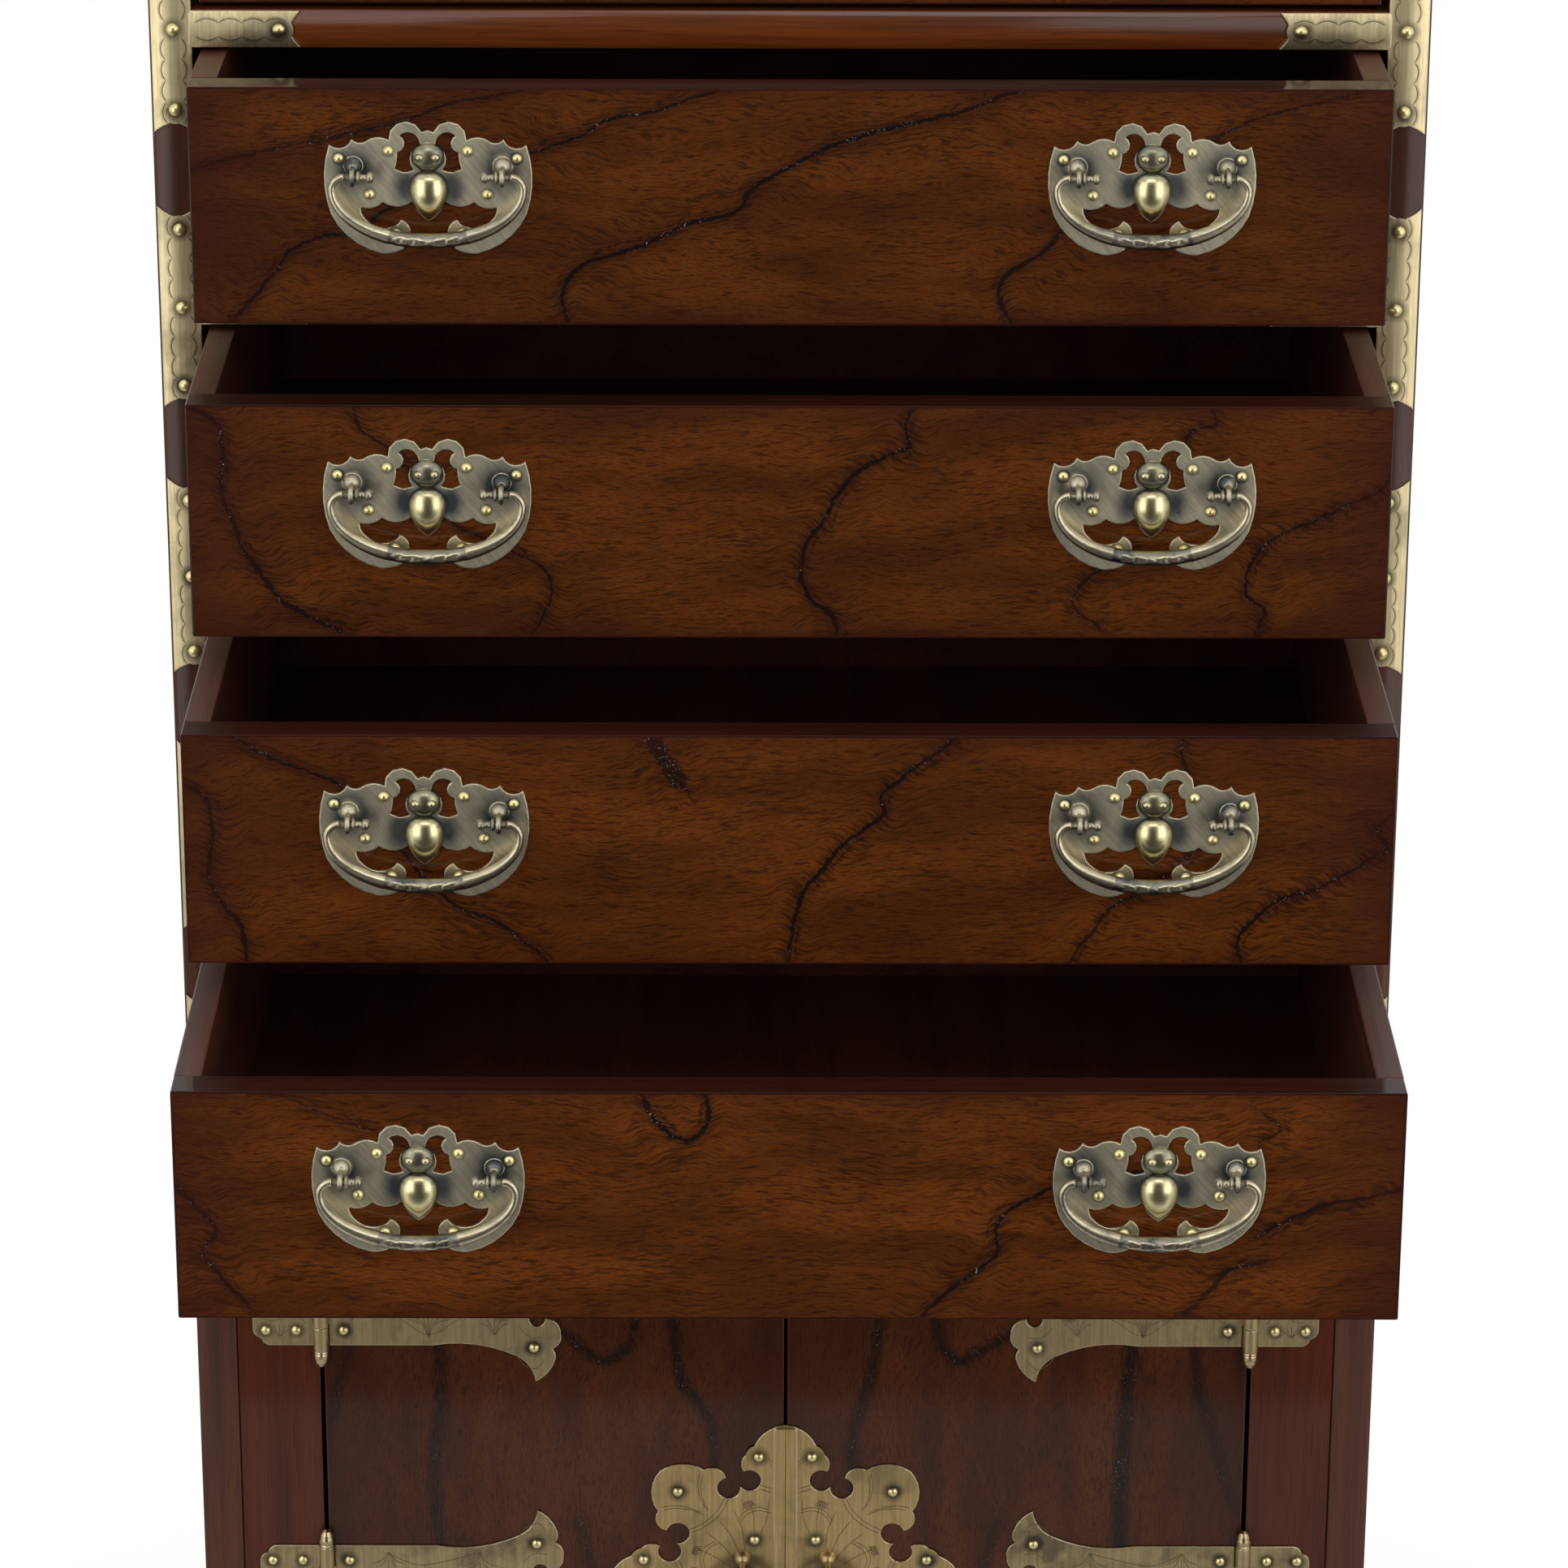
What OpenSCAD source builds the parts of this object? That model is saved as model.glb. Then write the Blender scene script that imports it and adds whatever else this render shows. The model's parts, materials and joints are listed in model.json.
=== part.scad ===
// Tall chest in the Korean style: five drawers over a two-door cabinet, with antique brass mounts.
// Front is -Y, +Z is up, and the floor is z = 0.

/* [Case] */
// Width over the posts
case_w = 570; // [480:10:700]
// Depth from the front posts' crest to the back
case_d = 400; // [340:10:480]
// Width of each post seen from the front
post_w = 19; // [16:1:26]
// Depth of each post
post_d = 30; // [26:1:40]
// Height of each front rail
rail_h = 17.5; // [14:0.5:24]
// How far the rounded front of a post or rail bows out
crown = 1.6; // [1:0.1:2]
// Thickness of the side panels
side_t = 14; // [10:1:18]
// How far the side panels lie inside the posts' outer faces
side_inset = 2; // [0:0.5:4]
// Thickness of the back panel
back_t = 6; // [4:1:10]
// How far drawer fronts and doors lie behind the posts' crest
face_set = 3; // [2:0.5:6]

/* [Top and base] */
// Thickness of the top
top_t = 18; // [14:1:26]
// How far the top and the base stand out past the case
overhang = 9; // [4:1:16]
// Height of the base from the floor to the bottom rail
base_h = 110; // [80:5:140]
// Height of the base boards between the feet
apron_h = 46; // [36:2:60]
// Thickness of the base boards
base_t = 18; // [14:1:24]
// Width of each foot along the front
foot_w = 74; // [60:2:90]

/* [Drawers] */
// Height of each drawer's opening
bay_h = 110.5; // [96:0.5:130]
// Gap between a post and the end of a drawer front
drawer_side_gap = 3.5; // [2:0.5:5]
// Gap over a drawer front
drawer_top_gap = 1.5; // [1:0.5:3]
// Gap under a drawer front
drawer_low_gap = 2.5; // [1:0.5:3]
// Thickness of a drawer front
front_t = 17; // [14:1:22]
// Thickness of the drawer sides and back
box_t = 12; // [10:1:16]
// Room left behind a drawer when it is shut
drawer_back_gap = 25; // [10:1:40]
// Thickness of a drawer's bottom
bottom_t = 5; // [4:1:8]
// Running gap between a drawer and its runners
run_gap = 0.3; // [0.2:0.1:0.6]

/* [Cabinet] */
// Height of the opening behind the doors
door_bay_h = 512; // [440:4:560]
// Width of the fixed stile beside each door
stile_w = 40; // [30:1:50]
// Thickness of the doors and the fixed stiles
door_t = 18; // [15:1:22]
// Gap over and under the doors, and where they hinge
door_gap = 2; // [1:0.5:3]
// Gap where the two doors meet
meet_gap = 1.6; // [1:0.2:3]
// Thickness of the shelf
shelf_t = 15; // [12:1:20]
// Thickness of the cabinet's floor and ceiling panels
panel_t = 10; // [8:1:14]

/* [Brass mounts] */
// Thickness of the brass sheet
sheet_t = 1.2; // [0.8:0.1:1.6]
// Thickness of the brackets on the posts
bracket_t = 1; // [0.8:0.1:1.6]
// Length of a bracket's arm up or down from its rail's centre
bracket_up = 47; // [42:1:52]
// Length of a bracket's arm along the rail, from the post
bracket_along = 48.4; // [40:0.2:56]
// Depth of the swallow-tail cut at the end of each arm
tail_cut = 5; // [3:0.5:7]
// Distance of each drawer pull from the end of its drawer front
pull_inset = 104.5; // [70:0.5:130]
// Height from a pull's own centre to the top of its drawer's opening
pull_drop = 40.6; // [38:0.2:46]
// How far in front of the drawer face a bail turns
bail_out = 9.5; // [9:0.1:12]
// Distance of each bail eye from the pull's centre
eye_x = 32.6; // [32:0.1:33]
// Radius of a bail's pin
pin_r = 1.6; // [1.4:0.1:1.7]
// Depth of a bail below its pins
bail_drop = 28.5; // [26:0.5:31]
// Half width of a bail, to the middle of its bar
bail_half = 41.7; // [40.5:0.1:43]
// Radius of a bail's bar in the middle of the grip
grip_r = 3.7; // [2.6:0.1:4]
// Number of strap hinges on each door
hinge_count = 3; // [2:1:3]
// Distance from a door's middle to its end hinges
hinge_rise = 144.5; // [120:0.5:160]
// Half height of a strap hinge
strap_half = 17.6; // [14:0.2:20]
// Radius of a hinge's knuckles
knuckle_r = 3.65; // [3.2:0.05:3.8]
// Radius of a hinge's pin
hinge_pin_r = 1.6; // [1.4:0.1:1.8]
// Radius of the round lock plate at its points
lock_r = 87; // [80:1:92]
// How far the lock plate's centre lies below the middle of the doors
lock_drop = 3; // [0:1:20]
// Width of the raised bar down the lock plate's middle
lock_bar_w = 11; // [9:0.5:14]
// Outer radius of a door's ring pull
ring_r = 17; // [14:0.5:19]
// Radius of a ring pull's wire
ring_wire_r = 1.9; // [1.5:0.1:2.2]

/* [Hidden] */
$fn = 48;
// How far each drawer stands open, its face measured from where it lies when shut
drawer_open = [0, 68, 120, 186, 276];
drawer_count = len(drawer_open);

case_half = case_w / 2;
post_in = case_half - post_w;
pitch = bay_h + rail_h;
cabinet_z = base_h + rail_h;
cabinet_top = cabinet_z + door_bay_h;
case_top = cabinet_top + drawer_count * pitch + rail_h;
lowest_rail_z = cabinet_top + rail_h / 2;
side_out = case_half - side_inset;
side_in = side_out - side_t;

// The origin is the middle of the floor that the chest covers with its drawers as they stand open
bail_front = bail_out + grip_r;
reach = max(drawer_open) - face_set + bail_front;
front_y = (reach - case_d) / 2;
back_y = front_y + case_d;
face_y = front_y + face_set;
panel_y = front_y + post_d;
panel_d = case_d - 2 * post_d;

drawer_w = 2 * (post_in - drawer_side_gap);
drawer_d = case_d - face_set - back_t - drawer_back_gap;
pull_x = drawer_w / 2 - pull_inset;
drawer_h = bay_h - drawer_top_gap - drawer_low_gap;
runner_h = rail_h + drawer_low_gap - run_gap;
guide_h = 14;
lip_h = 7;
groove_d = 4;
// Gap left where pieces are let into each other
fit_gap = 0.1;
// How far a runner reaches in past its drawer's side, and how near its guide comes to that side
run_overlap = 2;
guide_gap = 1;
// Flats on the round wires of eyes and rings, and on the big arcs of crowned bars
wire_sides = 24;
crown_sides = 180;
// Wood left bare at a bracket's outer edges
bracket_rim = 1;

base_half = case_half + overhang / 2;
base_y = front_y - overhang / 2;

door_mid_z = cabinet_z + door_bay_h / 2;
door_h = door_bay_h - 2 * door_gap;
stile_in = post_in - stile_w;
hinge_x = stile_in - door_gap / 2;
hinge_y = face_y - knuckle_r;
door_out = hinge_x - door_gap / 2;
knuckle_half = strap_half + 1.3;
knuckle_gap = 0.3;
pin_clear = 0.05;
third_z = knuckle_half / 3;
leaf_len = stile_w - 7;
strap_len = hinge_x - lock_r - 22;
// The strap's tail: where its edge begins to flare, and the cloud-shaped notch in its end
flare_len = 62;
tail_dip = 7.5;
tail_notch_r = 3.9;
// How far the shelf's underside lies over the middle of the doors
shelf_rise = 20;
shelf_z = door_mid_z + shelf_rise;
// How far the shelf's front edge lies behind the posts
shelf_set = 12;
cleat = 16;

// Lock plate: eight petals with paired round cuts between them
lock_z = door_mid_z - lock_drop;
petal_turn = 45;
cut_r = 5.7;
// Radius that the plate's outline was drawn at
drawn_lock_r = 87;
cut_at = lock_r * 59.4 / drawn_lock_r;
cut_turn = 17.2;
// Half the width of the slit that parts the plate between the doors
bar_slit = 0.15;
ring_x = 21;
ring_out = 9;
ring_pivot_z = lock_z + 10;

// Eyes that hold the bails and the rings
eye_wire_r = 1.2;
eye_post_r = 1;
// Depth of the straight bore cut inside an eye's round wire
eye_bore_cut = 0.15;
bail_eye_r = 3.1;
ring_eye_r = ring_wire_r + eye_wire_r + 0.7;
pin_rise = 1.4;

// Bails
elbow_r = 5.5;
bail_rings = 20;
elbow_rings = 4;
bar_sides = 10;
// Radius of the bar beside its pins
bar_r = pin_r + 0.15;

// Right half of a pull's plate: a bat with scrolled feelers over an open crescent
pull_half = [
    [0, 20.3, 0], [2.5, 19.4, 0.44], [16.9, 15.8, 0.15], [26.5, 15.6, -0.2], [33.1, 16.2, -0.27],
    [43, 13.8, 0.083], [42.7, -17.4, 0.118], [21, -35, 0.08], [11.6, -33, 0.1], [8.2, -24.7, 0.15],
    [12.3, -19.8, -0.1], [15.7, -22.9, -0.16], [27.1, -20.2, -0.12], [29.8, -14.2, 0.15],
    [19.9, -11.8, 0.18], [7.3, -11.5, 0.1], [0, -20.2, 0]];
// The opening between a feeler, the head and the wing
pull_hole = [
    [3.2, 13.9, 0], [3.8, 16.2, 0.28], [12.3, 17.9, -0.36], [13.4, 10.4, -0.05], [14.6, 3, 0],
    [10.9, 1.5, 0.05], [6.2, 2.6, -0.27], [3.2, 13.9, 0]];

rows = [for (i = [1:drawer_count]) i];

wood = [0.3, 0.13, 0.07];
veneer = [0.36, 0.16, 0.07];
inner_wood = [0.2, 0.07, 0.05];
brass = [0.62, 0.56, 0.4];

// Height of the centre of a rail, counted down from 0 at the top
function rail_z(k) = lowest_rail_z + (drawer_count - k) * pitch;
// Top of a drawer's opening
function bay_top(i) = rail_z(i - 1) - rail_h / 2;
// Height of a drawer's lower edge
function drawer_z(i) = rail_z(i) + rail_h / 2 + drawer_low_gap;
// Face of a drawer where it stands
function drawer_y(i) = face_y - drawer_open[i - 1];
function hinge_zs() = [for (k = [0:hinge_count - 1])
    door_mid_z + hinge_rise * (2 * k / (hinge_count - 1) - 1)];

// Points from a towards b along an arc that bows out to the left by s times the chord
function bow(a, b, s, n = 6) =
    abs(s) < 0.001 ? [a] :
    let (chord = b - a, c = norm(chord), rise = s * c,
         r = (c * c / 4 + rise * rise) / (2 * rise),
         left = [-chord[1], chord[0]] / c, centre = (a + b) / 2 + left * (rise - r),
         a0 = atan2(a[1] - centre[1], a[0] - centre[0]), sweep = -4 * atan(2 * s))
    [for (k = [0:n - 1]) centre + abs(r) * [cos(a0 + sweep * k / n), sin(a0 + sweep * k / n)]];
// An outline from rows of [x, y, bow of the edge that follows]
function outline(p, n = 6) =
    [for (i = [0:len(p) - 2]) each bow([p[i][0], p[i][1]], [p[i + 1][0], p[i + 1][1]], p[i][2], n)];
function mirrored(pts) = [for (i = [len(pts) - 1:-1:0]) if (pts[i][0] > 0.001) [-pts[i][0], pts[i][1]]];

// Stands a drawing in X and Z up, with its face towards -Y
module upright(t) {
    rotate([90, 0, 0]) linear_extrude(t) children();
}

module both_sides() {
    children();
    mirror([1, 0, 0]) children();
}

// A bar's section, w wide and d deep, with its front bowed out to y = 0
module crowned(w, d, rise = crown) {
    r = (w * w / 4 + rise * rise) / (2 * rise);
    intersection() {
        translate([-w / 2, 0]) square([w, d]);
        translate([0, r]) circle(r, $fn = crown_sides);
    }
}

// The skin of sheet brass that lies on such a bar
module crowned_skin(w, t, rise = crown) {
    r = (w * w / 4 + rise * rise) / (2 * rise);
    difference() {
        intersection() {
            translate([-w / 2, -t]) square([w, rise + t]);
            translate([0, r]) circle(r + t, $fn = crown_sides);
        }
        translate([0, r]) circle(r, $fn = crown_sides);
    }
}

// Case

module moulding_section(w, t) {
    nose = t / 2;
    for (x = [nose - w / 2, w / 2 - nose]) translate([x, 0]) circle(nose);
    translate([nose - w / 2, -nose]) square([w - t, t]);
}

// The top, rounded along its front and both ends
module top_panel() {
    w = case_w + 2 * overhang;
    d = case_d + overhang;
    nose = top_t / 2;
    color(wood) translate([0, front_y - overhang, case_top + nose]) intersection() {
        translate([0, d + 1, 0]) upright(d + 2) moulding_section(w, top_t);
        rotate([90, 0, 90]) linear_extrude(w + 2, center = true) union() {
            translate([nose, 0]) circle(nose);
            translate([nose, -nose]) square([d - nose, top_t]);
        }
    }
}

module front_post(side) {
    color(wood) translate([side * (case_half - post_w / 2), front_y, base_h])
        linear_extrude(case_top - base_h) crowned(post_w, post_d);
}

module rear_posts() {
    color(wood) both_sides()
        translate([post_in, back_y - post_d, base_h]) difference() {
            cube([post_w, post_d, case_top - base_h]);
            translate([-1, post_d - back_t, -1])
                cube([post_w / 2 + 1, back_t + 1, case_top - base_h + 2]);
        }
}

module side_panel(side) {
    color(wood) translate([side > 0 ? side_in : -side_out, panel_y, base_h])
        cube([side_t, panel_d, case_top - base_h]);
}

module back_panel() {
    w = 2 * (post_in + post_w / 2);
    color(inner_wood) translate([-w / 2, back_y - back_t, base_h])
        cube([w, back_t, case_top - base_h]);
}

module front_rail(z) {
    color(wood) translate([0, front_y, z]) rotate([90, 0, 90])
        linear_extrude(2 * post_in, center = true) rotate(-90) mirror([1, 0]) crowned(rail_h, post_d);
}

module drawer_rails() {
    for (k = [1:drawer_count]) front_rail(rail_z(k));
}

// One drawer runner: an L that carries the drawer's side and guides it
module runner(z) {
    bearing = side_in - (drawer_w / 2 - box_t) + run_overlap;
    guide = side_in - drawer_w / 2 - guide_gap;
    color(inner_wood) translate([side_in, back_y - post_d, z - rail_h / 2]) rotate([90, 0, 0])
        linear_extrude(panel_d)
            polygon([[0, 0], [0, runner_h + guide_h], [-guide, runner_h + guide_h],
                     [-guide, runner_h], [-bearing, runner_h], [-bearing, 0]]);
}

module drawer_runners(side) {
    mirror([side < 0 ? 1 : 0, 0, 0])
        for (k = [1:drawer_count - 1]) runner(rail_z(k));
    mirror([side < 0 ? 1 : 0, 0, 0]) difference() {
        runner(rail_z(drawer_count));
        translate([0, panel_y - 1, cabinet_top - 1]) cube([side_in + 1, panel_d + 2, panel_t + 1]);
    }
}

module cabinet_panel(z) {
    color(inner_wood) translate([-side_in, panel_y, z])
        cube([2 * side_in, panel_d, panel_t]);
}

module shelf() {
    color(inner_wood) translate([-side_in, panel_y + shelf_set, shelf_z])
        cube([2 * side_in, panel_d - shelf_set, shelf_t]);
}

module shelf_cleats() {
    color(inner_wood) both_sides() translate([side_in - cleat, panel_y + 2 * shelf_set, shelf_z - cleat])
        cube([cleat, panel_d - 3 * shelf_set, cleat]);
}

module door_stile(side) {
    color(wood) translate([side > 0 ? stile_in : -post_in, face_y, cabinet_z])
        cube([stile_w, door_t, door_bay_h]);
}

// Base

// A base board's outline: two feet with scrolled brackets and an apron with a point in its middle
module apron_outline(half) {
    foot_in = half - foot_w;
    rise = base_h - apron_h;
    toe = 14;
    scroll = 22;
    point_w = 26;
    point_z = rise - 9;
    side = outline([[half, base_h, 0], [half, 0, 0], [foot_in + toe, 0, 0.12],
        [foot_in, rise * 0.55, -0.22], [foot_in - scroll, rise * 0.8, 0.22],
        [foot_in - 2 * scroll, rise, 0], [point_w, rise, 0.2], [0, point_z, 0]]);
    polygon(concat(side, [[0, point_z]], mirrored(side)));
}

module base_front() {
    color(wood) translate([0, base_y + base_t, 0]) upright(base_t) apron_outline(base_half);
}

module base_sides() {
    length = back_y - base_t - (base_y + base_t);
    color(wood) both_sides() translate([base_half - base_t, base_y + base_t + length / 2, 0])
        rotate([90, 0, 90]) linear_extrude(base_t) apron_outline(length / 2);
}

module base_back() {
    foot_in = base_half - foot_w;
    color(wood) translate([0, back_y, 0]) upright(base_t) difference() {
        translate([-base_half, 0]) square([2 * base_half, base_h]);
        translate([-foot_in, -1]) square([2 * foot_in, base_h - apron_h + 1]);
    }
}

module base_blocks() {
    block = 34;
    x0 = base_half - base_t - block;
    color(inner_wood) both_sides() for (y = [base_y + base_t, back_y - base_t - block])
        translate([x0, y, 1]) cube([block, block, base_h - 1]);
}

// Brackets on the posts

// A bracket arm's outline, from x = 0 out to its swallow tail
module arm_outline(length, h) {
    polygon(outline([[0, h / 2, 0], [length, h / 2, -0.06], [length - tail_cut, 0, -0.06],
        [length, -h / 2, 0], [0, -h / 2, 0], [0, h / 2, 0]]));
}

module post_arm(length, outer_edge) {
    w = post_w - outer_edge;
    intersection() {
        linear_extrude(length) crowned_skin(post_w, bracket_t);
        translate([outer_edge / 2, post_w, 0]) upright(2 * post_w)
            rotate(90) arm_outline(length, w);
    }
}

// Rail arm, growing to +X from the post's inner edge, with the cap that joins it to the post's arm
module rail_arm() {
    h = rail_h - bracket_rim;
    cap = 0.9;
    intersection() {
        union() {
            rotate([90, 0, 90]) linear_extrude(bracket_along)
                rotate(-90) mirror([1, 0]) crowned_skin(rail_h, bracket_t);
            translate([-cap, 0, 0]) rotate([90, 0, 90]) linear_extrude(cap)
                rotate(-90) mirror([1, 0]) intersection() {
                    translate([0, -bracket_t]) crowned(rail_h, post_d);
                    translate([-rail_h, -2 * bracket_t]) square([2 * rail_h, 2 * bracket_t + 0.75 * crown]);
                }
        }
        translate([-cap, rail_h, 0]) upright(2 * rail_h) arm_outline(bracket_along + cap, h);
    }
}

// The bracket on the left post at rail height z, with arms up, down or both
module bracket(z, up, down) {
    translate([-case_half + post_w / 2, front_y, z]) union() {
        if (up) post_arm(bracket_up, bracket_rim);
        if (down) mirror([0, 0, 1]) post_arm(bracket_up, bracket_rim);
        if (!up) linear_extrude(rail_h / 2) crowned_bracket_block();
        if (!down) mirror([0, 0, 1]) linear_extrude(rail_h / 2) crowned_bracket_block();
        translate([post_w / 2, 0, 0]) rail_arm();
    }
}

module crowned_bracket_block() {
    intersection() {
        crowned_skin(post_w, bracket_t);
        translate([bracket_rim - post_w / 2, -post_w]) square([post_w, 2 * post_w]);
    }
}

module post_brackets() {
    color(brass) both_sides() {
        for (k = [1:drawer_count]) bracket(rail_z(k), true, true);
        bracket(rail_z(0), false, true);
        bracket(base_h + rail_h / 2, true, false);
    }
}

// Doors

module door(side) {
    w = door_out - meet_gap / 2;
    color(veneer) translate([side > 0 ? meet_gap / 2 : -door_out, face_y, cabinet_z + door_gap])
        cube([w, door_t, door_h]);
}

// The short leaf on the fixed stile, with notched corners, growing to -X from the pin
module leaf_outline() {
    h = strap_half;
    cusp = 4;
    corner = 8.4;
    polygon(outline([[0, h, 0], [0, -h, 0], [corner - leaf_len, -h, 0.2], [cusp - leaf_len, cusp - h, 0.2],
        [-leaf_len, corner - h, 0], [-leaf_len, h - corner, 0.2], [cusp - leaf_len, h - cusp, 0.2],
        [corner - leaf_len, h, 0], [0, h, 0]]));
}

// The long strap on the door, growing to +X from the pin to a two-lobed tail with a cloud-shaped notch
function strap_half_outline() = outline([
    [0, strap_half, 0], [strap_len - flare_len, strap_half, -0.08],
    [strap_len - 22, strap_half * 1.31, -0.13], [strap_len - 12.4, strap_half * 2.1, 0.1],
    [strap_len - 3.2, strap_half * 1.5, 0.16], [strap_len - 4.2, strap_half * 1.1, 0.2],
    [strap_len, strap_half * 0.65, 0.22], [strap_len - tail_dip, strap_half * 0.18, 0]]);
module strap_outline() {
    pts = strap_half_outline();
    dip = [strap_len - tail_dip, strap_half * 0.18];
    difference() {
        polygon(concat(pts, [dip, [dip[0], -dip[1]]],
            [for (i = [len(pts) - 1:-1:0]) [pts[i][0], -pts[i][1]]]));
        for (s = [-1, 1]) translate([dip[0] - tail_notch_r, s * strap_half / 5]) circle(tail_notch_r);
    }
}

module knuckle(z0, z1) {
    translate([0, 0, z0]) cylinder(r = knuckle_r, h = z1 - z0);
}

module knuckle_bore() {
    cylinder(r = hinge_pin_r + pin_clear, h = 4 * knuckle_half, center = true);
}

module hinge_leaf() {
    difference() {
        union() {
            translate([0, knuckle_r, 0]) upright(sheet_t) difference() {
                leaf_outline();
                translate([-knuckle_r - knuckle_gap, -third_z - knuckle_gap])
                    square([2 * knuckle_r, 2 * (third_z + knuckle_gap)]);
                translate([-0.4, -2 * strap_half]) square([2, 4 * strap_half]);
            }
            knuckle(third_z + knuckle_gap / 2, knuckle_half);
            knuckle(-knuckle_half, -third_z - knuckle_gap / 2);
        }
        knuckle_bore();
    }
}

module hinge_strap() {
    difference() {
        union() {
            translate([0, knuckle_r, 0]) upright(sheet_t) difference() {
                strap_outline();
                for (s = [0, 1]) mirror([0, s])
                    translate([-1, third_z - knuckle_gap / 2]) square([knuckle_r + knuckle_gap + 1, strap_half]);
                translate([-1, -2 * strap_half]) square([1.4, 4 * strap_half]);
            }
            knuckle(-third_z + knuckle_gap / 2, third_z - knuckle_gap / 2);
        }
        knuckle_bore();
    }
}

// A pin with an acorn at each end
module hinge_pin() {
    acorn_h = 9;
    half = knuckle_half;
    end = [[3.5, half], [3.7, half + 0.8], [3.3, half + 1.4], [3.6, half + 2.2], [3.6, half + 3.8],
           [3.1, half + 6.2], [2.1, half + 8.1], [0.9, half + acorn_h]];
    rotate_extrude() polygon(concat([[0, -half - acorn_h]],
        [for (i = [len(end) - 1:-1:0]) [end[i][0], -end[i][1]]],
        [[hinge_pin_r, -half], [hinge_pin_r, half]], end, [[0, half + acorn_h]]));
}

module at_hinges() {
    for (z = hinge_zs()) translate([-hinge_x, hinge_y, z]) children();
}

module hinge_leaves() {
    color(brass) both_sides() at_hinges() hinge_leaf();
}

module hinge_pins() {
    color(brass) both_sides() at_hinges() hinge_pin();
}

module hinge_straps(side) {
    color(brass) mirror([side > 0 ? 1 : 0, 0, 0]) at_hinges() hinge_strap();
}

// Lock plate

function polar(r, a) = r * [cos(a), sin(a)];
// Half a petal, from its point to the cusp between its cut and the next one
function half_petal() =
    let (k = lock_r / drawn_lock_r, tip = polar(lock_r, 0), notch = polar(73.9 * k, 12.5), inner = polar(65.1 * k, 18.4),
         c = polar(cut_at, cut_turn), off = cut_at * sin(petal_turn / 2 - cut_turn),
         cusp_r = cut_at * cos(petal_turn / 2 - cut_turn) - sqrt(cut_r * cut_r - off * off),
         cusp = polar(cusp_r, petal_turn / 2),
         a0 = atan2(inner[1] - c[1], inner[0] - c[0]), a1 = atan2(cusp[1] - c[1], cusp[0] - c[0]) - 360)
    concat([tip], [for (p = bow(tip, notch, -0.17)) if (norm(p - tip) > 0.01) p],
        bow(notch, inner, -0.27), [for (i = [0:14]) c + cut_r * [cos(a0 + (a1 - a0) * i / 14),
            sin(a0 + (a1 - a0) * i / 14)]]);
module flower() {
    half = half_petal();
    polygon([for (k = [0:7]) each concat(
        [for (i = [len(half) - 2:-1:1]) let (a = k * petal_turn)
            [half[i][0] * cos(a) + half[i][1] * sin(a), half[i][0] * sin(a) - half[i][1] * cos(a)]],
        [for (i = [0:len(half) - 1]) let (a = k * petal_turn)
            [half[i][0] * cos(a) - half[i][1] * sin(a), half[i][0] * sin(a) + half[i][1] * cos(a)]])]);
}

// An eye on a domed post, standing out from a sheet at y = 0 to hold a ring or bail at y = -out
module eye_post(out, eye_r) {
    dome_r = 4;
    translate([0, 0, eye_r]) {
        intersection() {
            sphere(dome_r);
            translate([-dome_r, -2 * dome_r, -dome_r]) cube(2 * dome_r);
        }
        rotate([90, 0, 0]) cylinder(r = eye_post_r, h = out);
    }
    translate([0, -out, 0]) rotate([0, 90, 0]) difference() {
        rotate_extrude() translate([eye_r, 0]) circle(eye_wire_r, $fn = wire_sides);
        cylinder(r = eye_r - eye_wire_r + eye_bore_cut, h = 4 * eye_wire_r, center = true);
    }
}

module lock_plate(side) {
    bar_out = 2.6;
    bar_half = lock_bar_w / 2;
    bar_end = lock_r - 1.5;
    bar_round = 1.5;
    color(brass) mirror([side < 0 ? 1 : 0, 0, 0]) translate([0, face_y, lock_z]) union() {
        upright(sheet_t) intersection() {
            flower();
            translate([bar_slit, -lock_r]) square([lock_r + 1, 2 * lock_r]);
        }
        upright(bar_out) polygon(outline([[bar_slit, bar_end, 0],
            [bar_half - bar_round, bar_end, 0.2], [bar_half, bar_end - bar_round, 0],
            [bar_half, bar_round - bar_end, 0.2], [bar_half - bar_round, -bar_end, 0],
            [bar_slit, -bar_end, 0], [bar_slit, bar_end, 0]]));
        translate([ring_x, -sheet_t, ring_pivot_z - lock_z]) eye_post(ring_out - sheet_t, ring_eye_r);
    }
}

module ring_pull(side) {
    hang = ring_r - ring_wire_r;
    color(brass) translate([side * ring_x, face_y - ring_out, ring_pivot_z - hang])
        rotate([90, 0, 0]) rotate_extrude() translate([hang, 0]) circle(ring_wire_r, $fn = wire_sides);
}

// Drawers

module drawer_front(i) {
    color(veneer) translate([-drawer_w / 2, drawer_y(i), drawer_z(i)]) difference() {
        cube([drawer_w, front_t, drawer_h]);
        translate([box_t - groove_d, front_t - groove_d, lip_h - fit_gap])
            cube([drawer_w - 2 * (box_t - groove_d), groove_d + 1, bottom_t + 2 * fit_gap]);
    }
}

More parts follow.
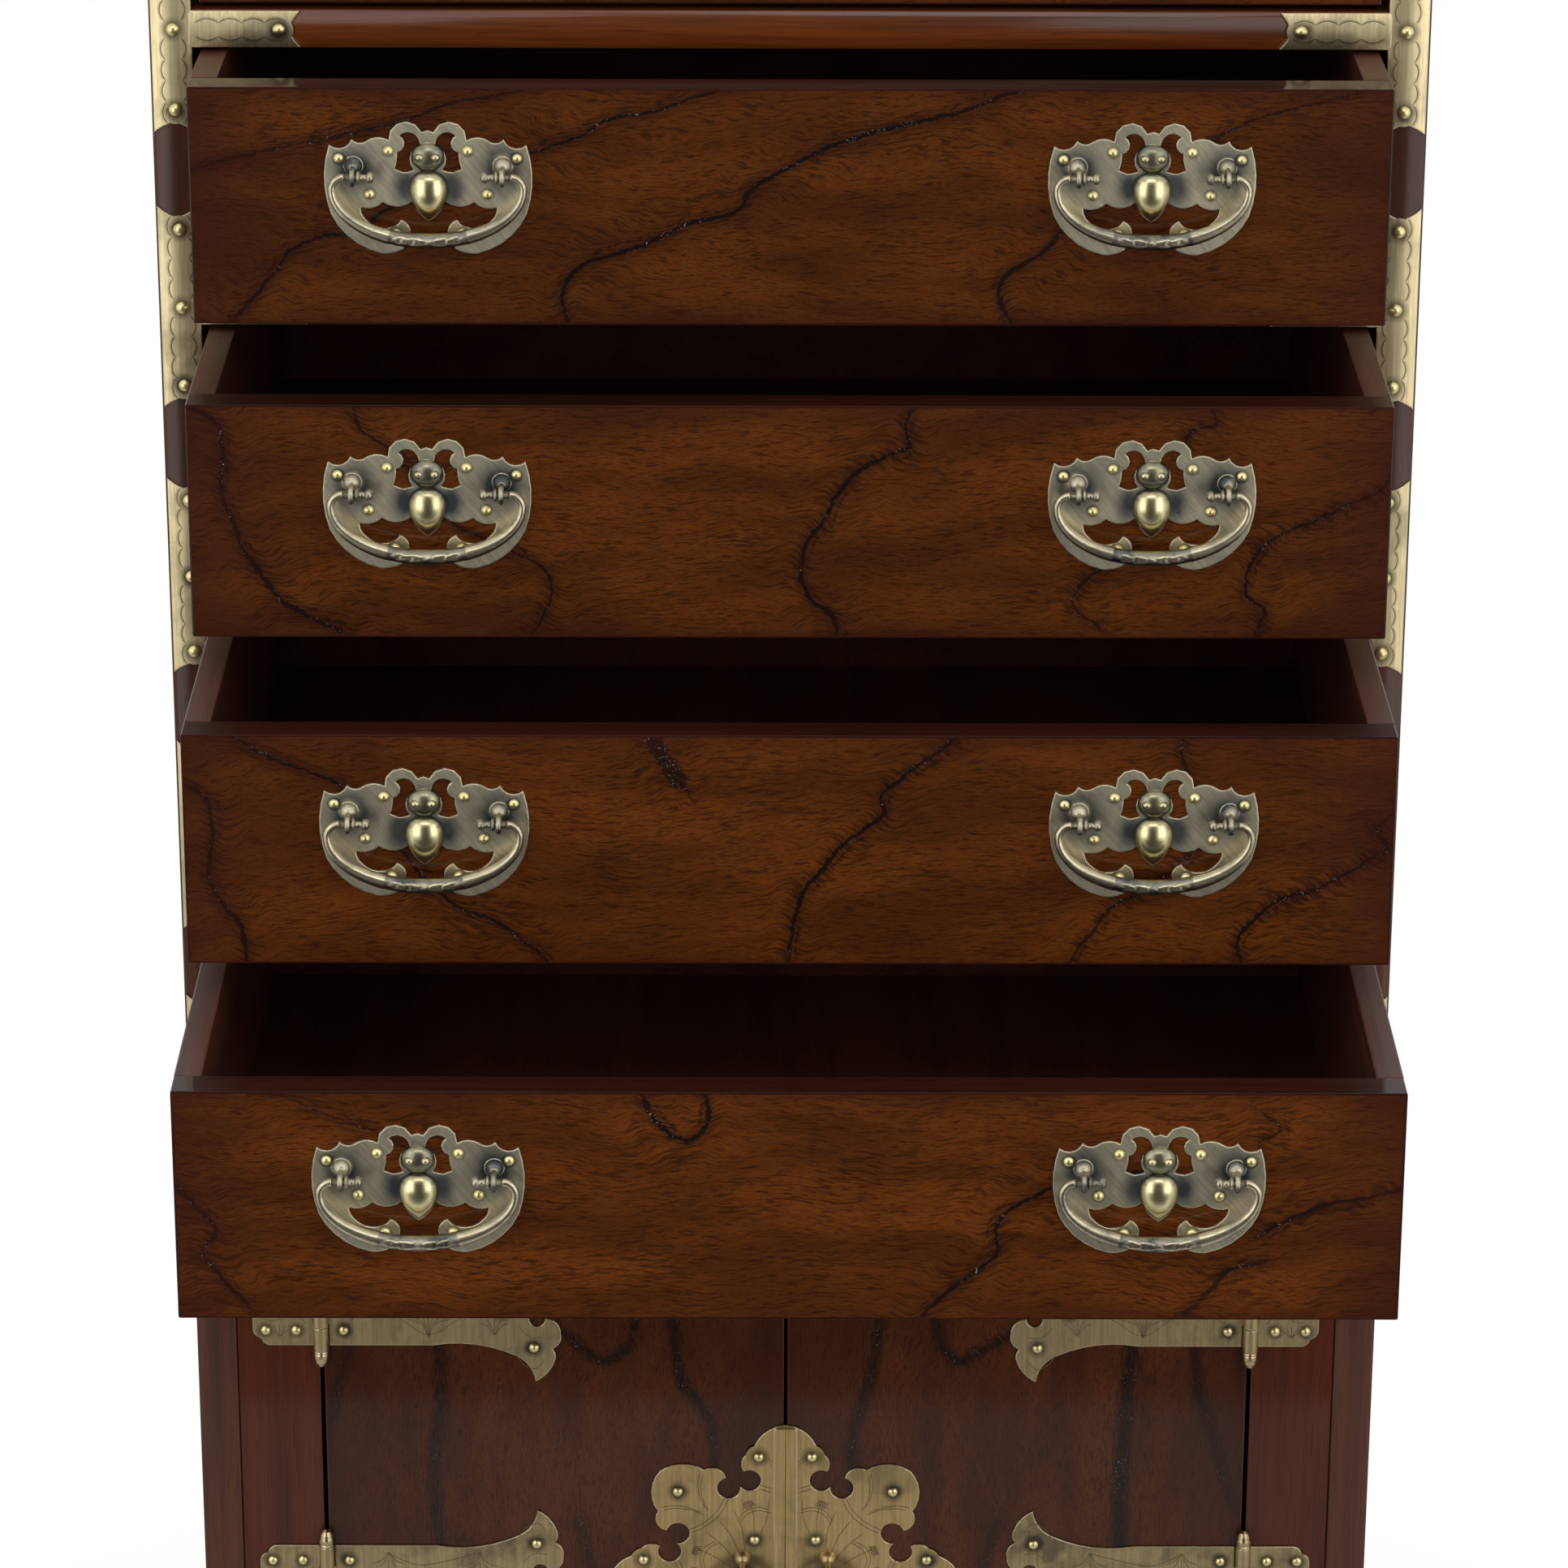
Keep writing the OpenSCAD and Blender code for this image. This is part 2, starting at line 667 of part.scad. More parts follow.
// Sides and back, with a bottom let into grooves
module drawer_box(i) {
    length = drawer_d - front_t;
    inside = drawer_w - 2 * box_t;
    color(inner_wood) translate([0, drawer_y(i) + front_t, drawer_z(i)]) {
        both_sides() difference() {
            translate([inside / 2, 0, 0]) cube([box_t, length, drawer_h]);
            translate([inside / 2 - 1, -1, lip_h - fit_gap])
                cube([groove_d + 1, length + 2, bottom_t + 2 * fit_gap]);
        }
        translate([fit_gap - inside / 2, length - box_t, lip_h + bottom_t + fit_gap])
            cube([inside - 2 * fit_gap, box_t, drawer_h - lip_h - bottom_t - fit_gap]);
        translate([fit_gap - inside / 2 - groove_d, fit_gap - groove_d, lip_h])
            cube([inside + 2 * (groove_d - fit_gap), length + groove_d - fit_gap, bottom_t]);
    }
}

module pull_plate() {
    foot = pull_half[len(pull_half) - 1];
    half = concat(outline(pull_half, 5), [[foot[0], foot[1]]]);
    upright(sheet_t) difference() {
        polygon(concat(half, mirrored(half)));
        both_sides() polygon(outline(pull_hole, 5));
    }
}

// The raised head and body on a pull's plate, turned forms sunk into the sheet
module pull_relief() {
    head_r = 8.2;
    head_sunk = 4.8;
    head_z = 8;
    body_sunk = 3;
    boss_r = 2;
    room = 60;
    body = [[0, 1.8], [3.6, 1.6], [6.6, 0], [8.2, -3.4], [8.5, -7], [7.8, -10.8], [6.2, -14.2], [3.8, -17.2], [0, -19.6]];
    intersection() {
        union() {
            translate([0, head_sunk, head_z]) sphere(head_r);
            translate([0, body_sunk, 0]) rotate_extrude() polygon(body);
            both_sides() translate([3.6, -2.6, head_z + 0.8]) sphere(boss_r);
        }
        translate([-room / 2, -room, -room / 2]) cube(room);
    }
}

module at_pulls(i) {
    for (s = [-1, 1]) translate([s * pull_x, drawer_y(i), bay_top(i) - pull_drop]) children();
}

module pull_plates(i) {
    color(brass) at_pulls(i) union() {
        pull_plate();
        translate([0, -sheet_t, 0]) {
            pull_relief();
            both_sides() translate([eye_x, 0, pin_rise]) eye_post(bail_out - sheet_t, bail_eye_r);
        }
    }
}

// Bail: a bar that swells from its pins to the grip

// Stations of [x, z, radius] down one side, from the pin to just before the middle
function bail_side() = concat(
    [for (k = [0:elbow_rings - 1]) let (a = 90 * k / elbow_rings)
        [bail_half - elbow_r + elbow_r * sin(a), elbow_r * (cos(a) - 1), bar_r]],
    [for (k = [0:bail_rings / 2 - 1]) let (a = 180 * k / bail_rings)
        [bail_half * cos(a), -elbow_r - (bail_drop - elbow_r) * sin(a),
         bar_r + (grip_r - bar_r) * pow(sin(a), 2)]]);
function bail_path() = let (s = bail_side()) concat(s, [[0, -bail_drop, grip_r]],
    [for (i = [len(s) - 1:-1:0]) [-s[i][0], s[i][1], s[i][2]]]);

module bail_bar() {
    path = [for (p = bail_path()) [p[0], p[1]]];
    radii = [for (p = bail_path()) p[2]];
    last = len(path) - 1;
    pts = [for (i = [0:last])
        let (ahead = path[min(i + 1, last)] - path[max(i - 1, 0)],
             way = i == 0 || i == last ? [1, 0] : ahead / norm(ahead),
             across = [-way[1], way[0]])
        for (j = [0:bar_sides - 1]) let (a = 360 * (j + 0.5) / bar_sides)
            [path[i][0] + radii[i] * cos(a) * across[0], radii[i] * sin(a),
             path[i][1] + radii[i] * cos(a) * across[1]]];
    n = bar_sides;
    faces = concat(
        [for (j = [1:n - 2]) [0, j + 1, j]],
        [for (j = [1:n - 2]) [last * n, last * n + j, last * n + j + 1]],
        [for (i = [0:last - 1], j = [0:n - 1]) let (k = (j + 1) % n)
            each [[i * n + j, i * n + k, (i + 1) * n + j], [i * n + k, (i + 1) * n + k, (i + 1) * n + j]]]);
    polyhedron(pts, faces);
}

// The pin that turns in an eye, with a collar inside it and a knob at its end
module bail_pin() {
    inner = eye_x - 9.4;
    collar = eye_x - eye_wire_r - 0.5;
    start = bail_half - elbow_r + 0.6;
    profile = [[0, inner], [1.4, inner], [2.4, inner + 1], [2.6, inner + 2.2], [1.5, inner + 3],
        [1.5, collar - 1.5], [3, collar - 1.2], [3, collar], [pin_r, collar + 0.1], [pin_r, start], [0, start]];
    rotate([0, 90, 0]) rotate_extrude() polygon(profile);
}

module bail(i, side) {
    color(brass) translate([side * pull_x, drawer_y(i) - bail_out, bay_top(i) - pull_drop + pin_rise]) union() {
        bail_bar();
        both_sides() bail_pin();
    }
}

top_panel();
front_post(-1);  // front_left_post
front_post(1);  // front_right_post
rear_posts();
side_panel(-1);  // side_panel_left
side_panel(1);  // side_panel_right
back_panel();
front_rail(rail_z(0));  // top_rail
drawer_rails();
front_rail(base_h + rail_h / 2);  // bottom_rail
drawer_runners(-1);  // drawer_runners_left
drawer_runners(1);  // drawer_runners_right
cabinet_panel(cabinet_top);  // cabinet_ceiling
cabinet_panel(cabinet_z - panel_t);  // cabinet_floor
shelf();
shelf_cleats();
door_stile(-1);  // door_stile_left
door_stile(1);  // door_stile_right
base_front();
base_sides();
base_back();
base_blocks();
post_brackets();
hinge_leaves();
hinge_pins();
door(-1);  // door_left
door(1);  // door_right
hinge_straps(-1);  // hinge_straps_left
hinge_straps(1);  // hinge_straps_right
lock_plate(-1);  // lock_plate_left
lock_plate(1);  // lock_plate_right
ring_pull(-1);  // ring_pull_left
ring_pull(1);  // ring_pull_right
for (i = rows) {
    drawer_front(i);
    drawer_box(i);
    pull_plates(i);
    bail(i, -1);
    bail(i, 1);
}
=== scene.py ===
"""Tall chest, five drawers over a two-door cabinet: wood figure, antique brass, nails and engraving.

All sizes are in millimetres until they reach a mesh. Front is -Y and +Z is up.
"""
import json
import math

import bmesh
import bpy
import numpy as np
from mathutils import Matrix, Vector


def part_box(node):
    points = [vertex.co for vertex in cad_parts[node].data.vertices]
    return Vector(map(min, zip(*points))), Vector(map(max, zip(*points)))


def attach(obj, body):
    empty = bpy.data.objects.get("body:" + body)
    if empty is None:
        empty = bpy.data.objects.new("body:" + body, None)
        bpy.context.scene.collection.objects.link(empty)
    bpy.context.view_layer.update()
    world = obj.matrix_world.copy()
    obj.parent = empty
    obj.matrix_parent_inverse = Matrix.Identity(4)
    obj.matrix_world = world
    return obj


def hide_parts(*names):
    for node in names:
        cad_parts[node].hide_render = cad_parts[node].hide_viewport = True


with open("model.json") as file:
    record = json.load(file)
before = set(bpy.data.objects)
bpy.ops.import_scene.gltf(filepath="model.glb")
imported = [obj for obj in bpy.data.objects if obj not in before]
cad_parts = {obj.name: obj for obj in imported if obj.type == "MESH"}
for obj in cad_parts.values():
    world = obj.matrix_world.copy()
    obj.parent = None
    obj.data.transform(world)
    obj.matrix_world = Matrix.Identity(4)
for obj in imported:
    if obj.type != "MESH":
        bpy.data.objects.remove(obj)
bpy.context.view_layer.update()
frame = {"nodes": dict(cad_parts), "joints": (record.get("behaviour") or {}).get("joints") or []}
NODES = frame["nodes"]
JOINTS = {j["name"]: j for j in frame["joints"]}
MM = 0.001


# Places taken from the frame


def low(node):
    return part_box(node)[0] / MM


def high(node):
    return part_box(node)[1] / MM


POST_IN = low("front_right_post").x
POST_OUT = high("front_right_post").x
POST_W = POST_OUT - POST_IN
FRONT_Y = low("front_right_post").y
FACE_Y = low("door_right").y
CASE_LOW = low("front_right_post").z
CASE_TOP = high("front_right_post").z
RAIL_H = high("top_rail").z - low("top_rail").z
DRAWERS = range(1, 6)
SIDES = {"left": -1, "right": 1}
PITCH = low("drawer_1_front").z - low("drawer_2_front").z
TOP_RAIL_Z = CASE_TOP - RAIL_H / 2
RAIL_ZS = [TOP_RAIL_Z - k * PITCH for k in range(6)]
LOW_RAIL_Z = CASE_LOW + RAIL_H / 2
# As in part.scad: the posts' and rails' bulge, and how thick the brackets and the other plates are
CROWN = 1.6
BRACKET_T = 1.0
SHEET_T = 1.2
PULL_X = abs(JOINTS["drawer_1_bail_left_swing"]["pos_m"][0]) / MM
PULL_Z = JOINTS["drawer_1_bail_left_swing"]["pos_m"][2] / MM


# Camera and studio

# The pitch is down from level, in degrees; yaw and roll are in radians
CAMERA_AT = (-9.7, FRONT_Y - 2496.4, RAIL_ZS[1] + 588.9)
CAMERA_PITCH = 20.77
CAMERA_YAW = -0.0032
CAMERA_ROLL = 0.0031
LENS = 131.46


def add_object(name, data):
    made = bpy.data.objects.new(name, data)
    bpy.context.scene.collection.objects.link(made)
    return made


def make_camera():
    data = bpy.data.cameras.new("camera")
    data.lens = LENS
    data.sensor_width = 36
    data.clip_start = 0.05
    data.clip_end = 60
    camera = add_object("camera", data)
    turn = (
        Matrix.Rotation(CAMERA_YAW, 4, "Z")
        @ Matrix.Rotation(math.radians(90 - CAMERA_PITCH), 4, "X")
        @ Matrix.Rotation(CAMERA_ROLL, 4, "Z")
    )
    camera.matrix_world = Matrix.Translation(Vector(CAMERA_AT) * MM) @ turn
    bpy.context.scene.camera = camera


def area_light(name, at, aim, size, power):
    data = bpy.data.lights.new(name, "AREA")
    data.shape = "RECTANGLE"
    data.size, data.size_y = size
    data.energy = power
    lamp = add_object(name, data)
    lamp.location = at
    lamp.rotation_euler = (Vector(aim) - Vector(at)).to_track_quat("-Z", "Y").to_euler()


def make_lights():
    for side in (-1, 1):
        area_light("side_box", (side * 1.45, -2.0, 1.15), (0, 0, 0.8), (1.4, 2.3), 18)
    area_light("top_box", (0, -2.2, 2.75), (0, 0, 0.8), (2.0, 0.8), 15)


# Node trees


class Tree:
    """Builds a node tree with one short call for each node."""

    def __init__(self, node_tree):
        self.tree = node_tree
        self.tree.nodes.clear()

    def node(self, kind, inputs=None, **settings):
        made = self.tree.nodes.new("ShaderNode" + kind)
        for key, value in settings.items():
            setattr(made, key, value)
        for key, value in (inputs or {}).items():
            if isinstance(value, bpy.types.NodeSocket):
                self.tree.links.new(value, made.inputs[key])
            else:
                made.inputs[key].default_value = value
        return made

    def math(self, operation, *values):
        return self.node("Math", dict(enumerate(values)), operation=operation).outputs[0]

    def add(self, first, second):
        return self.math("ADD", first, second)

    def sub(self, first, second):
        return self.math("SUBTRACT", first, second)

    def mul(self, first, second):
        return self.math("MULTIPLY", first, second)

    def step(self, value, start, end, low_value=0.0, high_value=1.0):
        """Smooth step of value from start to end."""
        inputs = {0: value, 1: start, 2: end, 3: low_value, 4: high_value}
        return self.node("MapRange", inputs, interpolation_type="SMOOTHSTEP").outputs[0]

    def mix(self, factor, first, second, blend_type="MIX"):
        """Mix of two colours."""
        def rgba(value):
            return value if isinstance(value, bpy.types.NodeSocket) else (*value, 1)
        inputs = {0: factor, 6: rgba(first), 7: rgba(second)}
        return self.node("Mix", inputs, data_type="RGBA", blend_type=blend_type).outputs[2]

    def place(self):
        return self.node("TexCoord").outputs["Object"]

    def stretch(self, place, scale, shift=(0, 0, 0)):
        """Place with each axis times its scale, so that a noise over it is drawn out."""
        inputs = {"Vector": place, "Scale": scale, "Location": shift}
        return self.node("Mapping", inputs).outputs[0]

    def noise(self, place, scale, detail=2.0, rough=0.5, distortion=0.0, colour=False):
        inputs = {"Vector": place, "Scale": scale, "Detail": detail, "Roughness": rough}
        inputs["Distortion"] = distortion
        return self.node("TexNoise", inputs).outputs[1 if colour else 0]

    def warp(self, place, amount, scale, detail=2.0):
        """Place pushed about by a noise, by up to about half of amount along each axis."""
        clouds = self.noise(place, scale, detail, colour=True)
        push = self.node("VectorMath", {0: clouds, 1: (0.5, 0.5, 0.5)}, operation="SUBTRACT").outputs[0]
        push = self.node("VectorMath", {0: push, 1: amount}, operation="MULTIPLY").outputs[0]
        return self.node("VectorMath", {0: place, 1: push}, operation="ADD").outputs[0]

    def attribute(self, name):
        return self.node("Attribute", attribute_name=name).outputs["Fac"]

    def bump(self, height, strength, distance):
        inputs = {"Height": height, "Strength": strength, "Distance": distance}
        return self.node("Bump", inputs).outputs[0]

    def surface(self, colour, roughness, normal=None, **fixed):
        """The Principled surface and the output; fixed holds sockets that are the same all over."""
        inputs = {"Base Color": colour, "Roughness": roughness}
        inputs.update({key.replace("_", " "): value for key, value in fixed.items()})
        if normal is not None:
            inputs["Normal"] = normal
        shader = self.node("BsdfPrincipled", inputs).outputs[0]
        self.node("OutputMaterial", {"Surface": shader})


def new_material(name):
    material = bpy.data.materials.new(name)
    material.use_nodes = True
    return material, Tree(material.node_tree)


def seen_rays(t):
    """1 for a camera ray; and 1 for each ray that sees the background: camera, glossy and transmission."""
    rays = t.node("LightPath").outputs
    seen = t.math("MAXIMUM", rays["Is Camera Ray"], rays["Is Glossy Ray"])
    return rays["Is Camera Ray"], t.math("MAXIMUM", seen, rays["Is Transmission Ray"])


# Woods

LACQUER = {"Specular_IOR_Level": 0.08, "Coat_Weight": 0.4, "Coat_Roughness": 0.07}


def wood_grain(name, along, light, dark, contrast, seed, gloss):
    """Straight-grained wood with its grain along one axis, pores and a lacquered surface."""
    material, t = new_material(name)

    def drawn(long_scale, cross_scale, shift=0.0, detail=2.0, distortion=0.0):
        scale = [cross_scale] * 3
        scale["XYZ".index(along)] = long_scale
        return t.noise(t.stretch(place, scale, (shift, shift, shift)), 1, detail, 0.58, distortion)

    place = t.warp(t.place(), (0.006, 0.006, 0.006), 6)
    bands = drawn(2.4, 40, seed, 3, 0.6)
    lines = drawn(9, 620, seed + 2, 3)
    pits = drawn(40, 1300)
    tone = t.add(t.mul(bands, 0.6), t.mul(lines, 0.4))
    reach = 0.15 / contrast
    colour = t.mix(t.step(tone, 0.5 - reach, 0.5 + reach), dark, light)
    pit = t.step(pits, 0.58, 0.70)
    colour = t.mix(t.mul(pit, 0.5), colour, [c * 0.35 for c in dark])
    height = t.sub(t.mul(lines, 0.4), pit)
    roughness = t.add(0.36, t.mul(bands, 0.1))
    t.surface(colour, roughness, t.bump(height, 0.1, 0.0002), **gloss)
    return material


VEIN = (0.0070, 0.0030, 0.0022)
FLECK = (0.30, 0.28, 0.30)
# In metres from a figure line: where the grain starts to bend along it, and where the line's own marks end
BEND_REACH = 0.016
LINE_REACH = (0.0105, 0.0085)
BEND = 0.75


def figured_veneer(name, light, mid, dark, edge, along="X", seed=0.0, curl=1.0, strokes_dark=0.64,
                   soft=0.0):
    """Veneer with short wavy strokes of grain that bend along the dark figure lines.

    The mesh's attributes say where a figure line is: vein_away is the distance to it in metres, vein_gap
    the same with a sign for its side, vein_half half its width and vein_strength how dark it is. edge_near
    rises towards the board's edges, where the stain is darker. soft blurs the lines and breaks them up.
    """
    material, t = new_material(name)
    place = t.place()
    gap, away, half, strength = (t.attribute("vein_" + key) for key in ("gap", "away", "half", "strength"))

    # Grain: clouds, wavy strokes and fine pores, bent along the figure lines
    beside = t.mul(t.step(away, BEND_REACH, 0.001), strength)
    bent = t.mul(t.mul(gap, beside), BEND)
    strength = t.mul(strength, t.step(away, *LINE_REACH))
    push = t.node("CombineXYZ", {2: bent} if along == "X" else {0: bent}).outputs[0]
    bent_place = t.node("VectorMath", {0: place, 1: push}, operation="ADD").outputs[0]
    waved = t.warp(bent_place, (0.016 * curl, 0, 0.022 * curl), 12, 1)
    waved = t.warp(waved, (0.003 * curl, 0, 0.003 * curl), 75, 2)

    def drawn(long_scale, cross_scale, shift, detail=2.0, rough=0.5):
        scale = (long_scale, 1, cross_scale) if along == "X" else (cross_scale, 1, long_scale)
        return t.noise(t.stretch(waved, scale, (shift, shift, shift)), 1, detail, rough)

    clouds = drawn(10, 46, seed, 3, 0.6)
    strokes = drawn(125, 1000, seed + 3, 2.5, 0.6)
    fine = drawn(300, 2100, seed + 5)
    patches = t.noise(t.stretch(place, (34, 1, 50), (seed, 0, seed)), 1, 2, 0.5)
    colour = t.mix(t.step(clouds, 0.34, 0.66), mid, light)
    colour = t.mix(t.mul(t.step(fine, 0.44, 0.66), 0.42), colour, dark)
    bar = t.sub(0.66, t.mul(patches, 0.2))
    bar = t.sub(bar, t.mul(beside, 0.05))
    stroke = t.step(t.sub(strokes, bar), -0.05, 0.09)
    colour = t.mix(t.mul(stroke, strokes_dark), colour, dark)

    # The figure lines' own shape: a ragged core and a thin twin that comes and goes beside it
    jag = t.sub(t.noise(t.stretch(place, (420, 1, 420), (seed, 0, 0)), 1, 3, 0.65), 0.5)
    sway = t.sub(t.noise(t.stretch(place, (90, 1, 90), (seed, 0, 3)), 1, 2, 0.5), 0.5)
    off = t.add(gap, t.add(t.mul(jag, 0.0034), t.mul(sway, 0.0030)))
    core = t.step(t.math("DIVIDE", t.math("ABSOLUTE", off), half), 1.25 + soft, 0.75 - 0.75 * soft)
    core = t.mul(core, strength)
    if soft:
        core = t.mul(core, t.step(t.add(strokes, fine), 0.8, 1.15, 0.35, 1.0))
    twin = t.math("ABSOLUTE", t.add(t.sub(gap, 0.0042), t.mul(sway, 0.012)))
    twin = t.mul(t.step(twin, 0.0010, 0.0003), t.step(t.add(sway, jag), 0.0, 0.14))
    twin = t.mul(t.mul(twin, strength), 0.7)
    line = t.math("MAXIMUM", core, twin)

    # A fringe of strokes and a soft shade beside a line, then the line, with pale flecks in its pores
    fringe = t.mul(t.step(away, 0.0065, 0.0006), strength)
    fringe = t.mul(fringe, t.step(t.add(strokes, t.mul(jag, 0.5)), 0.4, 0.62))
    colour = t.mix(t.mul(fringe, 0.4), colour, dark)
    shade = t.mul(t.step(t.math("ABSOLUTE", off), 0.0052, 0.0008), strength)
    colour = t.mix(t.mul(shade, 0.35), colour, dark)
    colour = t.mix(t.mul(line, 0.95), colour, VEIN)
    specks = t.noise(t.stretch(place, (900, 1, 900), (0, 0, seed)), 1, 2, 0.6)
    fleck = t.mul(t.step(specks, 0.60, 0.68), t.step(t.add(patches, sway), 0.50, 0.62))
    colour = t.mix(t.mul(t.mul(fleck, core), 0.55), colour, FLECK)

    colour = t.mix(t.mul(t.attribute("edge_near"), 0.62), colour, edge)
    height = t.sub(t.mul(strokes, -0.5), line)
    roughness = t.add(0.34, t.mul(clouds, 0.12))
    t.surface(colour, roughness, t.bump(height, 0.08, 0.0002), **LACQUER)
    return material


# Brass

# Colours of worn edges and of two kinds of patina
BRASS_EDGE = (0.86, 0.76, 0.50)
BRASS_DARK = (0.085, 0.072, 0.052)
BRASS_BLUE = (0.075, 0.085, 0.090)
# Brush streaks along X, for bars that are turned
ROUND_BRUSH = (60, 500, 500)
# Width of the worn rim along an edge, in metres
WORN_WIDTH = 0.0009


def brass(name, light, rough, blotch, dark=BRASS_DARK, streaks=(700, 700, 26), edge=None,
          blotch_scale=26, sooty=None, whole_bar=False, slant=0.0):
    """Brushed antique brass: fine brush streaks, blotches of patina, and darker where patina and painted
    shade say.

    rough is the roughness, and blotch how strong the blotches are. edge is the colour that edges are worn
    to. sooty is a function that adds patina by place, for parts that repeat. whole_bar leaves the edges
    unworn beside the middle line, where two halves meet. slant turns the brushing from upright, in radians.
    """
    material, t = new_material(name)
    place = t.place()

    # Brush streaks, and patina in blotches, specks and wherever the mesh or sooty puts it; the mesh also
    # carries painted shade
    brushed = t.node("VectorRotate", {"Vector": place, "Angle": slant}, rotation_type="Y_AXIS").outputs[0]
    brush = t.noise(t.stretch(brushed, streaks), 1, 3, 0.65)
    blots = t.noise(t.warp(place, (0.02, 0.02, 0.02), 40), blotch_scale, 4, 0.62)
    grime = t.noise(place, 260, 3, 0.6)
    patina = t.mul(t.step(blots, 0.46, 0.72), blotch)
    patina = t.add(patina, t.mul(t.step(grime, 0.56, 0.74), 0.16 * blotch))
    # The mesh's patina values: real patina round nails, in hollows and on the reliefs, and painted shade
    # beside the scallops
    patina_and_shade = t.mul(t.attribute("patina"), t.step(grime, 0.1, 0.62, 0.72, 1.0))
    patina = t.add(patina, patina_and_shade)
    if sooty:
        patina = t.add(patina, sooty(t, place, blots))
    patina = t.node("Clamp", {"Value": patina}).outputs[0]
    colour = t.mix(t.step(brush, 0.28, 0.74), [c * 0.72 for c in light], light)
    colour = t.mix(patina, colour, dark)
    roughness = t.add(rough, t.mul(patina, 0.1))
    bump = {"Height": brush, "Strength": 0.14, "Distance": 0.0001}

    # Worn rims: where a rounded normal turns away from the face's own
    if edge:
        rounded = t.node("Bevel", {"Radius": WORN_WIDTH}, samples=4).outputs[0]
        flat = t.node("NewGeometry").outputs["True Normal"]
        facing = t.node("VectorMath", {0: rounded, 1: flat}, operation="DOT_PRODUCT").outputs["Value"]
        worn = t.step(facing, 0.995, 0.93)
        if whole_bar:
            from_middle = t.math("ABSOLUTE", t.node("SeparateXYZ", {0: place}).outputs["X"])
            worn = t.mul(worn, t.step(from_middle, 0.001, 0.003))
        colour = t.mix(t.mul(worn, 0.85), colour, edge)
        roughness = t.sub(roughness, t.mul(worn, 0.08))
        bump["Normal"] = rounded

    t.surface(colour, roughness, t.node("Bump", bump).outputs[0], Metallic=1.0)
    return material


def pull_soot(t, place, blots):
    """Patina of the pull plates: dark round the two eyes and beside the relief's body."""
    axes = t.node("SeparateXYZ", {0: place})
    x, z = axes.outputs["X"], axes.outputs["Z"]
    across = t.math("ABSOLUTE", t.sub(t.math("ABSOLUTE", x), PULL_X * MM))
    turns = t.math("DIVIDE", t.sub(z, PULL_Z * MM), PITCH * MM)
    rise = t.mul(t.sub(turns, t.math("ROUND", turns)), PITCH * MM)
    uneven = t.mul(t.sub(blots, 0.5), 0.014)

    def near(at_x, at_z, reach, squash=1.0):
        gap_x = t.mul(t.sub(across, at_x * MM), squash)
        gap_z = t.sub(rise, at_z * MM)
        gap = t.math("SQRT", t.add(t.mul(gap_x, gap_x), t.mul(gap_z, gap_z)))
        return t.step(t.add(gap, uneven), reach * MM, 0.0015)

    eye = t.mul(near(32, 2, 17), 1.05)
    eye = t.sub(eye, t.mul(near(32.6, 3, 5.5), 0.6))
    flank = t.mul(near(10, -6, 15, 1.5), 0.95)
    neck = t.mul(near(0, 6, 13), 0.9)
    return t.math("MAXIMUM", t.math("MAXIMUM", eye, flank), neck)


# Finishes

# Veneer: light, middle, dark strokes and the board's stained ends; and how light each drawer is
DRAWER_TONES = ((0.108, 0.0265, 0.0022), (0.060, 0.0140, 0.0014), (0.0145, 0.0038, 0.0010),
                (0.030, 0.0058, 0.0030))
DOOR_TONES = ((0.083, 0.0210, 0.0040), (0.049, 0.0120, 0.0028), (0.0130, 0.0040, 0.0016),
              (0.030, 0.0068, 0.0030))
DRAWER_LIGHTNESS = {1: 1.35, 2: 1.0, 3: 1.03, 4: 1.1, 5: 1.12}
DOOR_SEEDS = {"left": 4.0, "right": 9.0}

DULL = {"Specular_IOR_Level": 0.25, "Coat_Weight": 0.15, "Coat_Roughness": 0.3}
SATIN = {"Specular_IOR_Level": 0.1, "Coat_Weight": 0.62, "Coat_Roughness": 0.24}
POLISHED = {"Specular_IOR_Level": 0.1, "Coat_Weight": 0.75, "Coat_Roughness": 0.17}
RED_TONES = ((0.100, 0.0245, 0.0062), (0.043, 0.0108, 0.0034))
# Plain woods: name, way of the grain, light and dark tone, contrast, seed and gloss
WOODS = {
    "wood_z": ("wood_upright", "Z", *RED_TONES, 1.0, 3.1, SATIN),
    "wood_x": ("wood_level", "X", (0.172, 0.041, 0.0072), (0.073, 0.0160, 0.0033), 1.0, 7.7, POLISHED),
    "wood_y": ("wood_deep", "Y", *RED_TONES, 1.0, 5.2, LACQUER),
    "stile": ("stile_wood", "Z", (0.085, 0.0185, 0.0060), (0.049, 0.0112, 0.0040), 0.8, 1.4, LACQUER),
    "front_edge": ("front_edge_wood", "X", (0.040, 0.0085, 0.0040), (0.020, 0.0045, 0.0024), 1.0, 9.3,
                   LACQUER),
    "inner": ("inner_wood", "Y", (0.118, 0.0350, 0.0215), (0.066, 0.0185, 0.0125), 1.0, 2.6, DULL),
    "inner_z": ("back_wood", "Z", (0.060, 0.0150, 0.0110), (0.030, 0.0080, 0.0060), 1.0, 4.4, DULL),
}
